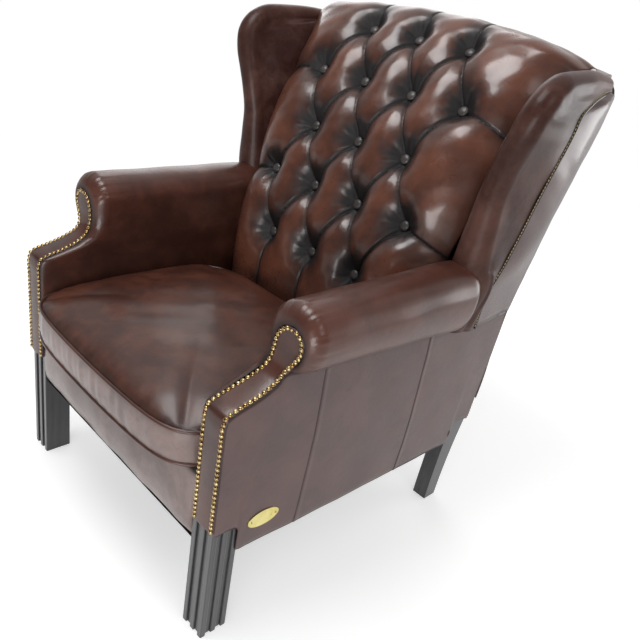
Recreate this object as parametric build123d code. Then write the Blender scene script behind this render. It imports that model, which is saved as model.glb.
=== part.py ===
from build123d import *
import os
from math import cos, radians, sin, tan

# Wing chair: leather upholstery over a timber frame, with a loose seat cushion.
# Millimetres. X is to the right as seen from the front, Y to the back, Z up.
# Depths are measured back from the faces of the front legs, heights from the floor.
# save() puts the origin on the floor in the middle of the chair.

# Whole chair
FRAME_WIDTH = 684  # across the outer faces of the legs
COVER = 4  # leather with its lining
SEAM_GAP = 0.4  # between soft pieces that lie against each other
OVERRUN = 20  # how far a cutting tool runs past the wood
ROUND_STEPS = 4  # straight edges in place of a rounding of the upholstery

# Front legs
LEG_WIDTH = 57
LEG_DEPTH = 56
REED_HEIGHT = 262  # how far up the leg shows
REED_COUNT = 3
REED_GROOVE_DEPTH = 4
REED_ROUND = 1.8

# Seat rails and their joints
SEAT_RAIL_TOP = 330
SIDE_RAIL_HEIGHT = 138
FRONT_RAIL_HEIGHT = 126
REAR_RAIL_HEIGHT = 96
RAIL_THICKNESS = 32
REAR_RAIL_THICKNESS = 26
RAIL_SETBACK = 8  # front rail behind the face of the legs
TENON_LENGTH = 25
TENON_THICKNESS = 12
TENON_SHOULDER = 14
BLOCK_LEG = 62  # corner block along each rail
BLOCK_HEIGHT = 38
BLOCK_DROP = 12  # corner block below the rail top
SCREW_RADIUS = 4
SCREW_HEAD = 3

# Rear legs, which carry on upwards as the back posts
REAR_LEG_WIDTH = 36
FOOT_FACE = 664
FOOT_THICKNESS = 39
LEG_SWELL_HEIGHT = 270  # where the curve of the leg ends
LEG_SWELL_FACE = 694
LEG_SWELL_THICKNESS = 63
LEG_FACE_SAG = 5
LEG_REAR_SAG = 9
POST_BEND_HEIGHT = 500
POST_BEND_FACE = 735
POST_BEND_THICKNESS = 40
POST_TOP_HEIGHT = 985
POST_TOP_FACE = 858
POST_TOP_THICKNESS = 34

# Arms
SWEEP_HEIGHT = 488  # corner between the upright facing and the sweep
SWEEP_KNEE_DEPTH = 60
SWEEP_KNEE_RISE = 19  # knee and end of the sweep above its corner
SWEEP_RISE = 60
SCROLL_FACE_DEPTH = 113
FACING_THICKNESS = 5
SCROLL_INNER = 286  # scroll outline, across and up
SCROLL_OUTER = 367
SCROLL_RISE = 68  # top and widest part of the scroll above the end of the sweep
SCROLL_WIDEST_RISE = 35
SCROLL_INNER_share = 0.12  # how far the scroll's curves rise, of its height
SCROLL_OUTER_share = 0.2
SCROLL_WAIST_share = 0.2
SCROLL_CROWN_share = 0.52
ARM_POST_FOOT_DEPTH = 78
ARM_POST_HEAD_DEPTH = 35
ARM_RAIL_RISE = 12  # top of the arm rail above the end of the sweep
ARM_RAIL_HEIGHT = 45
ARM_FRAME_THICKNESS = 34
ARM_INNER = 281  # inner face of the arm padding
ROLL_RISE = 102  # top and widest part of the roll above the end of the sweep
ROLL_FLANK_RISE = 46
ROLL_OUTER = 392
ROLL_TOP_WIDTH = 335
ROLL_FULL_DEPTH = 140
ROLL_TAPER_DEPTH = 565  # from here the roll thins down to the wing's seam
ROLL_END_DEPTH = 648
ROLL_END_FLANK = 14
ROLL_FRONT_share = 0.86
LIP_share = 0.4
SHOULDER_share = 0.17
ARM_SEAM_DROP = 12  # seam under the roll below the end of the sweep, falling to the back
ARM_SEAM_FALL = 36

# Decorative nails
NAIL_PITCH = 9.3
NAIL_RADIUS = 4.4
NAIL_HEIGHT = 2.4
NAIL_INSET = 4.6
NAIL_TAPER = 42

# Outside covers
SIDE_HEM_FRONT = 190
SIDE_HEM_REAR = 172
ARCH_DEPTH = 674  # leather cut away round the rear leg
ARCH_TOP = 230
ARCH_ROUND_share = 0.25
BORDER_BULGE = 5

# Seat
WEBBING = 2
WEB_WIDTH = 50
WEBS_ACROSS = 5
DECK_THICKNESS = 9
DUST_COVER = 1.5
CUSHION_FRONT = 31  # middle of the cushion in front of the legs
CUSHION_BOW = 12
CUSHION_CLEARANCE = 23  # from the cushion to the foot of the back pad
CUSHION_SIDE_SAG = 3
CUSHION_CORNER = 40
CORNER_STEPS = 4
CUSHION_BORDER = 70
CUSHION_CROWN = 48
PIPING_RADIUS = 3.4

# Wings
WING_OVER_CREST = 7  # top of the wing above the crest rail
WING_STILE_THICKNESS = 24
WING_STILE_DEPTH = 45
WING_FRONT = 525  # foremost point of the wing's leading edge
WING_REACH = 370  # from there back
WING_FLARE = 53  # middle of the leading edge beyond the side of the frame
NOSE_RADIUS = 28
REAR_ROUND = 54  # how far the top of the wing stops short of the back
WING_STILE_FACE = 568
WING_STILE_FOOT = -20  # middle of the stile beyond the side of the frame, foot and head
WING_STILE_HEAD = 43
WING_RAIL_DROP = 73  # top bar of the wing frame below the wing's top
WING_RAIL_HEIGHT = 40
WING_RAIL_THICKNESS = 15
WELT_RADIUS = 2.6
# Sections of the wing from the arm's rear seam up to its top, in shares: of that height;
# of the reach for the leading edge, the join with the back pad and the outside seam; of
# the nose's radius; of the flare for what lies beyond the side of the frame.
WING_shares = (
    # height, nose, nose beyond, radius, join, seam, seam beyond, rear corner beyond, short
    (0, 0.0649, -0.264, 0.929, 0.1811, 0.3514, 0.151, 0.075, 0),
    (0.27, 0.0324, -0.151, 0.964, 0.1811, 0.4243, 0.283, 0.189, 0),
    (0.5, 0.0351, 0.094, 1, 0.2838, 0.4946, 0.453, 0.321, 0),
    (0.689, 0.0108, 0.509, 1, 0.3919, 0.5757, 0.566, 0.491, 0),
    (0.83, 0, 0.887, 1, 0.473, 0.6297, 0.679, 0.547, 0),
    (0.909, 0.0405, 1, 0.964, 0.5324, 0.7432, 0.679, 0.566, 0),
    (0.956, 0.0973, 1, 0.786, 0.5676, 0.9108, 0.585, 0.547, 0.111),
    (0.985, 0.1865, 0.868, 0.5, 0.6027, 0.9, 0.472, 0.434, 0.407),
    (1, 0.3243, 0.642, 0.214, 0.6405, 0.8135, 0.396, 0.358, 1),
)
WELT_LEVELS = 6  # levels of the wing that the welt takes in; the outside cover goes one higher

# Oval brass plate, bare
PLATE_LENGTH = 70
PLATE_HEIGHT = 33
PLATE_THICKNESS = 1.2
PLATE_DEPTH = 105
PLATE_LEVEL = 242
PLATE_TILT = 5

# Back
BUTTON_PITCH = 133
BUTTON_RADIUS = 8.8
BUTTON_DOME = 3.8
BUTTON_SIDES = 12
BUTTON_LIFT = 7
TWINE_RADIUS = 1.5
TWINE_GAP = 0.9  # between the modelled end of the twine and the leather
PAD_LOFT = 50  # stuffing above the line of the buttons
PUFF_share = 1.84  # pull on the middle of each full diamond; it rises about 0.4 of this
PAD_FOOT_DEPTH = 463
PAD_FOOT_HEIGHT = 345
PATCH_STEPS = 6  # facets along each side of a patch of the pad
# Buttons and edges of the pad, row by row up the back: share of the way back from its foot
# to the head of the posts, and share of the height from its foot to the crest rail
BACK_ROWS_shares = ((0, 0), (0.0557, 0.3063), (0.1671, 0.4985), (0.2709, 0.6697),
                    (0.4278, 0.8363), (0.6127, 0.9865), (0.7899, 1.0526))
BUTTON_ROWS = 5
# Guide points above the line of the buttons along each edge, in shares of the loft
PLEAT_shares = (0, 0.1, 0.48, 0.1, 0)
PLEAT_DOWN_shares = (0, 0.1, 0.2, 0.12, 0)  # from the bottom edge up to the lowest buttons
PLEAT_OVER_shares = (0, 0.1, 0.24, 0.28, 0.28)  # from the highest buttons over the top
PLEAT_SIDE_shares = (0, 0.1, 0.28, -0.2, -1.2)  # from the outer buttons to the wing
RIDGE_DOWN_shares = (0.2, 0.6, 0.9, 0.2, 0)
RIDGE_OVER_shares = (0, 0.2, 1.04, 0.8, 0.5)
RIDGE_SIDE_shares = (0, 0.2, 1, 0.9, -1.36)
BOTTOM_EDGE_shares = (0, 0.12, 0.2, 0.2, 0.2)  # from a pleat to a ridge
BOTTOM_CORNER_shares = (0.2, 0.2, 0.1, -0.4, -1.1)
TOP_EDGE_shares = (0.28, 0.36, 0.46, 0.5, 0.5)
TOP_CORNER_shares = (0.5, 0.48, 0.28, -0.16, -0.48)
WING_EDGE_LOW_shares = (-1.1, -1.12, -1.14, -1.16, -1.2)
WING_EDGE_MIDDLE_shares = (-1.2, -1.24, -1.28, -1.32, -1.36)
WING_EDGE_UPPER_shares = (-1.36, -1.32, -1.28, -1.24, -1.2)
WING_EDGE_TOP_shares = (-1.2, -1, -0.76, -0.6, -0.48)
OVER_PLEAT_shares = (0.28, 0.4, 0.44, 0.28, 0)  # over the crest rail to the back
OVER_RIDGE_shares = (0.5, 0.64, 0.64, 0.4, 0)
OVER_CORNER_shares = (-0.48, -0.16, 0.04, 0.06, 0)
TOWARDS_RIDGE_shares = (0, 0.5, 0.85, 1, 1)
FROM_RIDGE_shares = (0, 0, 0.15, 0.5, 1)
EVEN_shares = (0, 0.25, 0.5, 0.75, 1)
LEVEL_shares = (0, 0, 0, 0, 0)
PUFF_shares = (0.12, 0.55, 1)
SIDE_ROWS_shares = (0, 1.85, 3, 3.85, 6, 7)  # rows at which the sides are divided
RIDGE_COLUMN = 1.62  # outermost ridge, in button pitches from the middle
CREST_CAP = 26  # top of the crest rail above the posts
CREST_HEIGHT = 85
CREST_THICKNESS = 30
LOWER_RAIL_BOTTOM = 400
LOWER_RAIL_HEIGHT = 60
LOWER_RAIL_THICKNESS = 26
PAD_NECK = 8  # side of the pad inside the side of the frame, between the tops of the wings
PAD_OVERHANG = 27  # and beyond it, where the pad rolls over them
PAD_TRIM = 12  # how far the stitched shell runs past the finished side

# Worked out from the sizes above
HALF = FRAME_WIDTH / 2
SWEEP_END_HEIGHT = SWEEP_HEIGHT + SWEEP_RISE
SCROLL_TOP = SWEEP_END_HEIGHT + SCROLL_RISE
SCROLL_WIDEST_HEIGHT = SWEEP_END_HEIGHT + SCROLL_WIDEST_RISE
ARM_RAIL_TOP = SWEEP_END_HEIGHT + ARM_RAIL_RISE
ROLL_TOP = SWEEP_END_HEIGHT + ROLL_RISE
ROLL_FLANK_HEIGHT = SWEEP_END_HEIGHT + ROLL_FLANK_RISE
ARM_SEAM_FRONT = SWEEP_END_HEIGHT - ARM_SEAM_DROP
ARM_SEAM_REAR = ARM_SEAM_FRONT - ARM_SEAM_FALL
CREST_TOP = POST_TOP_HEIGHT + CREST_CAP
WING_TOP = CREST_TOP + WING_OVER_CREST
WING_HEIGHT = WING_TOP - ARM_SEAM_REAR
WING_RAIL_TOP = WING_TOP - WING_RAIL_DROP
CUSHION_REAR = PAD_FOOT_DEPTH - CUSHION_CLEARANCE
LEG_INNER = HALF - LEG_WIDTH
POST_INNER = HALF - REAR_LEG_WIDTH
RAIL_INNER = HALF - RAIL_THICKNESS
ARM_FRAME_INNER = HALF - ARM_FRAME_THICKNESS
OUTER = HALF + COVER
SIDE_RAIL_BOTTOM = SEAT_RAIL_TOP - SIDE_RAIL_HEIGHT
DECK_TOP = SEAT_RAIL_TOP + 2 * WEBBING + DECK_THICKNESS
WELT_FOOT = WING_FRONT + WING_REACH * WING_shares[0][5]
POST_RAKE = (POST_TOP_FACE - POST_BEND_FACE) / (POST_TOP_HEIGHT - POST_BEND_HEIGHT)
CREST_REAR = POST_TOP_FACE + POST_RAKE * (CREST_TOP - POST_TOP_HEIGHT) + POST_TOP_THICKNESS
ORIGIN_DEPTH = (CREST_REAR + COVER - CUSHION_FRONT - 2 * PIPING_RADIUS) / 2
LINE = [(PAD_FOOT_DEPTH + (POST_TOP_FACE - PAD_FOOT_DEPTH) * back,
         PAD_FOOT_HEIGHT + (CREST_TOP - PAD_FOOT_HEIGHT) * up) for back, up in BACK_ROWS_shares]
LINE.append((CREST_REAR + COVER, CREST_TOP + SEAM_GAP))  # on over the crest rail


def save(name, shape):
    """Write one node with the chair's origin."""
    export_step(Pos(0, -ORIGIN_DEPTH, 0) * shape, f"parts/{name}.step")


def save_pair(name, right):
    """Write a piece of the right side and its mirror image."""
    save(name + "_right", right)
    save(name + "_left", mirror(right, about=Plane.YZ))


def block(x_range, y_range, z_range):
    """Box between two corners."""
    (x0, x1), (y0, y1), (z0, z1) = x_range, y_range, z_range
    return Pos((x0 + x1) / 2, (y0 + y1) / 2, (z0 + z1) / 2) * Box(x1 - x0, y1 - y0, z1 - z0)


def side_point(depth, height, across=0):
    return Vector(across, depth, height)


def bulge(start, end, rise, normal):
    """Arc from start to end that rises from its chord, to the right of the way it runs."""
    way = end - start
    out = way.cross(Vector(normal)).normalized()
    return ThreePointArc(start, (start + end) / 2 + out * rise, end)


def chords(arc):
    """Short straight edges in place of an arc."""
    points = [arc @ (i / ROUND_STEPS) for i in range(ROUND_STEPS + 1)]
    return [Line(a, b) for a, b in zip(points, points[1:])]


def side_bulge(start, end, rise):
    return bulge(start, end, rise, (1, 0, 0))


def side_plate(edges, x_range):
    """Plate from a closed outline drawn in depth and height."""
    face = make_face(edges)
    return Pos(x_range[0], 0, 0) * extrude(face, amount=x_range[1] - x_range[0], dir=(1, 0, 0))


def side_polygon(points, x_range):
    return side_plate(Polyline(*[side_point(*p) for p in points], close=True), x_range)


def cord(path, radius):
    """Six-sided cord along a path."""
    plane = Plane(origin=path.position_at(0), z_dir=path.tangent_at(0))
    return sweep(plane * RegularPolygon(radius, 6), path=path)


def post_face(height):
    """Depth of the raked front face of the back posts."""
    return POST_BEND_FACE + POST_RAKE * (height - POST_BEND_HEIGHT)


def post_rear(height):
    """Depth of the rear face of the back frame."""
    share = (height - POST_BEND_HEIGHT) / (POST_TOP_HEIGHT - POST_BEND_HEIGHT)
    return post_face(height) + between(POST_BEND_THICKNESS, POST_TOP_THICKNESS, min(share, 1))


def between(low, high, share):
    return low + (high - low) * share


# Timber frame

def rear_leg():
    """Rear leg and back post sawn from one plank, with its mortise for the rear rail."""
    foot_front, foot_rear = side_point(FOOT_FACE, 0), side_point(FOOT_FACE + FOOT_THICKNESS, 0)
    swell_front = side_point(LEG_SWELL_FACE, LEG_SWELL_HEIGHT)
    swell_rear = side_point(LEG_SWELL_FACE + LEG_SWELL_THICKNESS, LEG_SWELL_HEIGHT)
    bend_front = side_point(POST_BEND_FACE, POST_BEND_HEIGHT)
    bend_rear = side_point(POST_BEND_FACE + POST_BEND_THICKNESS, POST_BEND_HEIGHT)
    top_front = side_point(POST_TOP_FACE, POST_TOP_HEIGHT)
    top_rear = side_point(POST_TOP_FACE + POST_TOP_THICKNESS, POST_TOP_HEIGHT)
    edges = [
        side_bulge(foot_front, swell_front, -LEG_FACE_SAG),
        Line(swell_front, bend_front), Line(bend_front, top_front), Line(top_front, top_rear),
        Line(top_rear, bend_rear), Line(bend_rear, swell_rear),
        side_bulge(swell_rear, foot_rear, LEG_REAR_SAG),
        Line(foot_rear, foot_front),
    ]
    leg = side_plate(edges, (POST_INNER, HALF))
    tenon = tenon_range(REAR_RAIL_HEIGHT)
    return leg - block((POST_INNER, POST_INNER + TENON_LENGTH), rear_tenon_depths(), tenon)


def tenon_range(rail_height):
    """Heights between the shoulders of a seat rail's tenon."""
    return SEAT_RAIL_TOP - rail_height + TENON_SHOULDER, SEAT_RAIL_TOP - TENON_SHOULDER


def rear_rail_depths():
    middle = LEG_SWELL_FACE + LEG_SWELL_THICKNESS / 2
    return middle - REAR_RAIL_THICKNESS / 2, middle + REAR_RAIL_THICKNESS / 2


def rear_tenon_depths():
    middle = sum(rear_rail_depths()) / 2
    return middle - TENON_THICKNESS / 2, middle + TENON_THICKNESS / 2


def front_tenon_depths():
    middle = RAIL_SETBACK + RAIL_THICKNESS / 2
    return middle - TENON_THICKNESS / 2, middle + TENON_THICKNESS / 2


def side_tenon_range():
    middle = HALF - RAIL_THICKNESS / 2
    return middle - TENON_THICKNESS / 2, middle + TENON_THICKNESS / 2


def front_leg():
    """Square leg with reeds on its two outer faces and mortises for two rails."""
    parts = 2 * REED_COUNT - 1
    groove_x, groove_y = LEG_WIDTH / parts, LEG_DEPTH / parts
    section = Pos(HALF - LEG_WIDTH / 2, LEG_DEPTH / 2) * Rectangle(LEG_WIDTH, LEG_DEPTH)
    for i in range(REED_COUNT - 1):
        across = LEG_INNER + (2 * i + 1.5) * groove_x
        section -= Pos(across, 0) * Rectangle(groove_x, 2 * REED_GROOVE_DEPTH)
        back = (2 * i + 1.5) * groove_y
        section -= Pos(HALF, back) * Rectangle(2 * REED_GROOVE_DEPTH, groove_y)
    on_faces = section.vertices().filter_by(lambda v: v.Y < REED_ROUND or v.X > HALF - REED_ROUND)
    reeds = extrude(fillet(on_faces, REED_ROUND), amount=REED_HEIGHT)
    leg = reeds + block((LEG_INNER, HALF), (0, LEG_DEPTH), (REED_HEIGHT, SEAT_RAIL_TOP))
    front_mortise = block((LEG_INNER, LEG_INNER + TENON_LENGTH), front_tenon_depths(),
                          tenon_range(FRONT_RAIL_HEIGHT))
    side_mortise = block(side_tenon_range(), (LEG_DEPTH - TENON_LENGTH, LEG_DEPTH),
                         tenon_range(SIDE_RAIL_HEIGHT))
    return leg - front_mortise - side_mortise


def front_rail():
    bottom = SEAT_RAIL_TOP - FRONT_RAIL_HEIGHT
    rail = block((-LEG_INNER, LEG_INNER), (RAIL_SETBACK, RAIL_SETBACK + RAIL_THICKNESS),
                 (bottom, SEAT_RAIL_TOP))
    reach = LEG_INNER + TENON_LENGTH
    return rail + block((-reach, reach), front_tenon_depths(), tenon_range(FRONT_RAIL_HEIGHT))


def rear_rail():
    bottom = SEAT_RAIL_TOP - REAR_RAIL_HEIGHT
    rail = block((-POST_INNER, POST_INNER), rear_rail_depths(), (bottom, SEAT_RAIL_TOP))
    reach = POST_INNER + TENON_LENGTH
    return rail + block((-reach, reach), rear_tenon_depths(), tenon_range(REAR_RAIL_HEIGHT))


def side_rail(leg):
    """Side rail, tenoned into the front leg and scribed to the curve of the rear leg."""
    rail = block((RAIL_INNER, HALF), (LEG_DEPTH, LEG_SWELL_FACE + LEG_SWELL_THICKNESS / 2),
                 (SIDE_RAIL_BOTTOM, SEAT_RAIL_TOP))
    rail += block(side_tenon_range(), (LEG_DEPTH - TENON_LENGTH, LEG_DEPTH),
                  tenon_range(SIDE_RAIL_HEIGHT))
    scribed = rail - block((POST_INNER, HALF + OVERRUN), rear_rail_depths(),
                           (SIDE_RAIL_BOTTOM, SEAT_RAIL_TOP)) - leg
    return scribed.solids().sort_by(Axis.Y)[0]


def corner_blocks():
    """Three-cornered blocks glued into the four corners of the seat frame."""
    top = SEAT_RAIL_TOP - BLOCK_DROP
    front = RAIL_SETBACK + RAIL_THICKNESS
    rear = rear_rail_depths()[0]
    pieces = []
    for side in (-1, 1):
        for depth, way, inner in ((front, 1, LEG_INNER), (rear, -1, POST_INNER)):
            limit = LEG_DEPTH - front if way > 0 else rear - LEG_SWELL_FACE
            corner = [(side * inner, depth), (side * inner, depth + way * limit),
                      (side * RAIL_INNER, depth + way * limit),
                      (side * RAIL_INNER, depth + way * (limit + BLOCK_LEG - LEG_WIDTH / 2)),
                      (side * (inner - BLOCK_LEG), depth)]
            if way < 0:
                corner = [(side * inner, depth), (side * inner, depth - BLOCK_LEG),
                          (side * (inner - BLOCK_LEG), depth)]
            face = make_face(Polyline(*[(x, y, top - BLOCK_HEIGHT) for x, y in corner], close=True))
            pieces.append(extrude(face, amount=BLOCK_HEIGHT, dir=(0, 0, 1)))
    return pieces


def block_screws():
    """A screw head on the sloping face of each corner block."""
    top = SEAT_RAIL_TOP - BLOCK_DROP
    pieces = []
    for piece in corner_blocks():
        face = piece.faces().filter_by(lambda f: abs(f.normal_at().X) > 0.3
                                       and abs(f.normal_at().Y) > 0.3).sort_by(SortBy.AREA)[-1]
        middle = face.center()
        plane = Plane(origin=(middle.X, middle.Y, top - BLOCK_HEIGHT / 2), z_dir=face.normal_at())
        pieces.append(plane * extrude(RegularPolygon(SCREW_RADIUS, 8), amount=SCREW_HEAD))
    return pieces


def sweep_points(offset):
    """Points on the front of the arm, offset outwards: corner, knee and end of the sweep."""
    corner = side_point(-offset, SWEEP_HEIGHT + offset)
    knee = side_point(SWEEP_KNEE_DEPTH - offset / 2, SWEEP_HEIGHT + SWEEP_KNEE_RISE + offset)
    end = side_point(SCROLL_FACE_DEPTH - offset, SWEEP_END_HEIGHT)
    return corner, knee, end


def sweep_edges(bottom, offset=0):
    """Front of the arm from a point near the floor up to the scroll."""
    corner, knee, end = sweep_points(offset)
    chord = end - knee
    turn = (knee - corner).get_angle(chord)
    rise = chord.length / 2 * tan(radians(turn / 2))
    return [Line(bottom, corner), Line(corner, knee), side_bulge(knee, end, rise)]


def arm_front_post():
    """Shaped arm stump that stands on the front leg and the side rail."""
    bottom = side_point(0, SEAT_RAIL_TOP)
    head_rear = SCROLL_FACE_DEPTH + ARM_POST_HEAD_DEPTH
    end = sweep_points(0)[2]
    back = [end, side_point(SCROLL_FACE_DEPTH, ARM_RAIL_TOP), side_point(head_rear, ARM_RAIL_TOP),
            side_point(head_rear, ARM_RAIL_TOP - ARM_RAIL_HEIGHT),
            side_point(ARM_POST_FOOT_DEPTH, SWEEP_HEIGHT - ARM_RAIL_HEIGHT),
            side_point(ARM_POST_FOOT_DEPTH, SEAT_RAIL_TOP), bottom]
    edges = sweep_edges(bottom) + [Line(a, b) for a, b in zip(back, back[1:])]
    return side_plate(edges, (ARM_FRAME_INNER, HALF))


def arm_rail(leg):
    rail = block((ARM_FRAME_INNER, HALF),
                 (SCROLL_FACE_DEPTH + ARM_POST_HEAD_DEPTH, post_face(ARM_RAIL_TOP) + OVERRUN),
                 (ARM_RAIL_TOP - ARM_RAIL_HEIGHT, ARM_RAIL_TOP))
    return (rail - leg).solids().sort_by(Axis.Y)[0]


def raked_bar(x_range, z_range, thickness):
    """Bar between the posts, lying in the rake of the back."""
    z0, z1 = z_range
    outline = [(post_face(z0), z0), (post_face(z1), z1),
               (post_face(z1) + thickness, z1), (post_face(z0) + thickness, z0)]
    return side_polygon(outline, x_range)


def crest_rail():
    """Top rail of the back, housed over the tops of the posts."""
    low = CREST_TOP - CREST_HEIGHT
    bar = raked_bar((-POST_INNER, POST_INNER), (low, CREST_TOP), CREST_THICKNESS)
    cap = raked_bar((-HALF, HALF), (POST_TOP_HEIGHT, CREST_TOP), POST_TOP_THICKNESS)
    return bar + cap


def lower_back_rail():
    top = LOWER_RAIL_BOTTOM + LOWER_RAIL_HEIGHT
    face = POST_BEND_FACE - (POST_BEND_FACE - LEG_SWELL_FACE) * (
        (POST_BEND_HEIGHT - top) / (POST_BEND_HEIGHT - LEG_SWELL_HEIGHT))
    return block((-POST_INNER, POST_INNER), (face, face + LOWER_RAIL_THICKNESS),
                 (LOWER_RAIL_BOTTOM, top))


def back_webbing():
    """Straps up and across the front of the back frame."""
    low, high = ARM_RAIL_TOP + WEB_WIDTH / 2, CREST_TOP - WEB_WIDTH
    straps = []
    count = WEBS_ACROSS - 1
    for i in range(count):
        height = between(low, high, i / (count - 1))
        strap = raked_bar((-HALF, HALF), (height, height + WEB_WIDTH / 2), WEBBING)
        straps.append(Pos(0, -WEBBING, 0) * strap)
    return straps


# Soft seat

def seat_webbing():
    """Webbing nailed over the seat rails: straps back to front under straps side to side."""
    front, rear = RAIL_SETBACK, rear_rail_depths()[1]
    level = SEAT_RAIL_TOP
    straps = []
    for i in range(WEBS_ACROSS):
        share = (i + 0.5) / WEBS_ACROSS
        middle = between(-ARM_INNER, ARM_INNER, share)
        straps.append(block((middle - WEB_WIDTH / 2, middle + WEB_WIDTH / 2), (front, rear),
                            (level, level + WEBBING)))
        middle = between(LEG_DEPTH, LEG_SWELL_FACE, share)
        straps.append(block((-ARM_FRAME_INNER, ARM_FRAME_INNER),
                            (middle - WEB_WIDTH / 2, middle + WEB_WIDTH / 2),
                            (level + WEBBING, level + 2 * WEBBING)))
    return straps


def seat_deck():
    low = SEAT_RAIL_TOP + 2 * WEBBING
    reach = ARM_INNER - SEAM_GAP
    return block((-reach, reach), (0, LEG_SWELL_FACE), (low, DECK_TOP))


def dust_cover():
    """Cloth under the seat, cut out round the legs."""
    cloth = block((-HALF, HALF), (RAIL_SETBACK, rear_rail_depths()[1]),
                  (SIDE_RAIL_BOTTOM - DUST_COVER, SIDE_RAIL_BOTTOM))
    for side in (-1, 1):
        inner, outer = side * LEG_INNER, side * (HALF + OVERRUN)
        across = (min(inner, outer), max(inner, outer))
        levels = (SIDE_RAIL_BOTTOM - OVERRUN, SIDE_RAIL_BOTTOM + OVERRUN)
        cloth -= block(across, (-OVERRUN, LEG_DEPTH + SEAM_GAP), levels)
        cloth -= block(across, (FOOT_FACE, rear_rail_depths()[1] + OVERRUN), levels)
    return cloth


def cushion_face(inset, level):
    """Plan of the cushion: bowed front, sides a little drawn in, round corners."""
    half = ARM_INNER - SEAM_GAP - 2 * PIPING_RADIUS - inset
    front, rear = CUSHION_BOW - CUSHION_FRONT + inset, CUSHION_REAR - inset
    radius = max(CUSHION_CORNER - inset / 3, CUSHION_CORNER / 3)
    deep = (rear - front) / 2
    middle = Vector(0, front + deep, level)
    points = []
    # Each side in turn: half its length, how far out it is and how much it bows
    for turn, (length, out, bow) in enumerate(((half, deep, CUSHION_BOW),
                                               (deep, half, -CUSHION_SIDE_SAG),
                                               (half, deep, -CUSHION_SIDE_SAG),
                                               (deep, half, -CUSHION_SIDE_SAG))):
        start = radius - length
        side = [(start - 2 * start * share, -out - bow * 4 * share * (1 - share))
                for share in EVEN_shares]
        for i in range(1, CORNER_STEPS):
            angle = 90 * i / CORNER_STEPS
            side.append((length - radius + radius * sin(radians(angle)),
                         radius - out - radius * cos(radians(angle))))
        points += [middle + Vector(x, y, 0).rotate(Axis.Z, 90 * turn) for x, y in side]
    return make_face(Polyline(*points, close=True))


def seat_cushion():
    """Box cushion: borders drawn in between the two pipings, top swelling to a crown."""
    seam = DECK_TOP + SEAM_GAP + CUSHION_BORDER
    low = DECK_TOP + SEAM_GAP
    waist_share = 0.5
    stack = [(0, low), (PIPING_RADIUS, between(low, seam, waist_share)), (0, seam)]
    crown_shares = ((0.03, 0.3), (0.11, 0.62), (0.22, 0.86), (0.34, 1))
    half = ARM_INNER
    stack += [(half * i, seam + CUSHION_CROWN * rise) for i, rise in crown_shares]
    return loft([cushion_face(inset, level) for inset, level in stack], ruled=True)


def cushion_piping(level):
    """Leather cord sewn into the cushion's seam, six-sided in section."""
    reach = PIPING_RADIUS / 2
    rise = reach * 3 ** 0.5
    middle = -PIPING_RADIUS - SEAM_GAP / 2
    rings = []
    for way in (-1, 1):
        stack = [(middle + way * reach, level - rise), (middle + way * 2 * reach, level),
                 (middle + way * reach, level + rise)]
        rings.append(loft([cushion_face(inset, height) for inset, height in stack], ruled=True))
    return rings[0] - rings[1]


# Arms

def scroll_edges():
    """Outline of the scroll, up its inner side, over the top and down its outer side."""
    y = SCROLL_FACE_DEPTH - FACING_THICKNESS
    foot = SWEEP_END_HEIGHT - 2 * FACING_THICKNESS
    inner = Vector(SCROLL_INNER, y, between(foot, SCROLL_TOP, SCROLL_WAIST_share))
    top = Vector(between(SCROLL_INNER, SCROLL_OUTER, SCROLL_CROWN_share), y, SCROLL_TOP)
    outer = Vector(SCROLL_OUTER, y, SCROLL_WIDEST_HEIGHT)
    foot_inner = Vector(HALF - LEG_WIDTH + COVER, y, foot)
    foot_outer = Vector(OUTER, y, foot)
    return [Line(foot_inner, inner),
            bulge(inner, top, SCROLL_INNER_share * (SCROLL_TOP - foot), (0, 1, 0)),
            bulge(top, outer, SCROLL_OUTER_share * (SCROLL_TOP - foot), (0, 1, 0)),
            Line(outer, foot_outer)]


def scroll_plate():
    """Upright scroll at the end of the arm roll, as a thin board."""
    edges = scroll_edges()
    edges.append(Line(edges[-1] @ 1, edges[0] @ 0))
    return extrude(make_face(edges), amount=FACING_THICKNESS, dir=(0, 1, 0))


def arm_facing(pad):
    """Leather-covered strip up the front of the arm, ending in the scroll."""
    low_outer = side_point(-FACING_THICKNESS, REED_HEIGHT)
    low_inner = side_point(0, REED_HEIGHT)
    outer, inner = sweep_edges(low_outer, FACING_THICKNESS), sweep_edges(low_inner)
    close = [Line(sweep_points(FACING_THICKNESS)[2], sweep_points(0)[2]),
             Line(low_inner, low_outer)]
    strip = side_plate(outer + inner + close, (HALF - LEG_WIDTH + COVER, OUTER))
    return strip + scroll_plate() - arm_front_post() - pad


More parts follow.
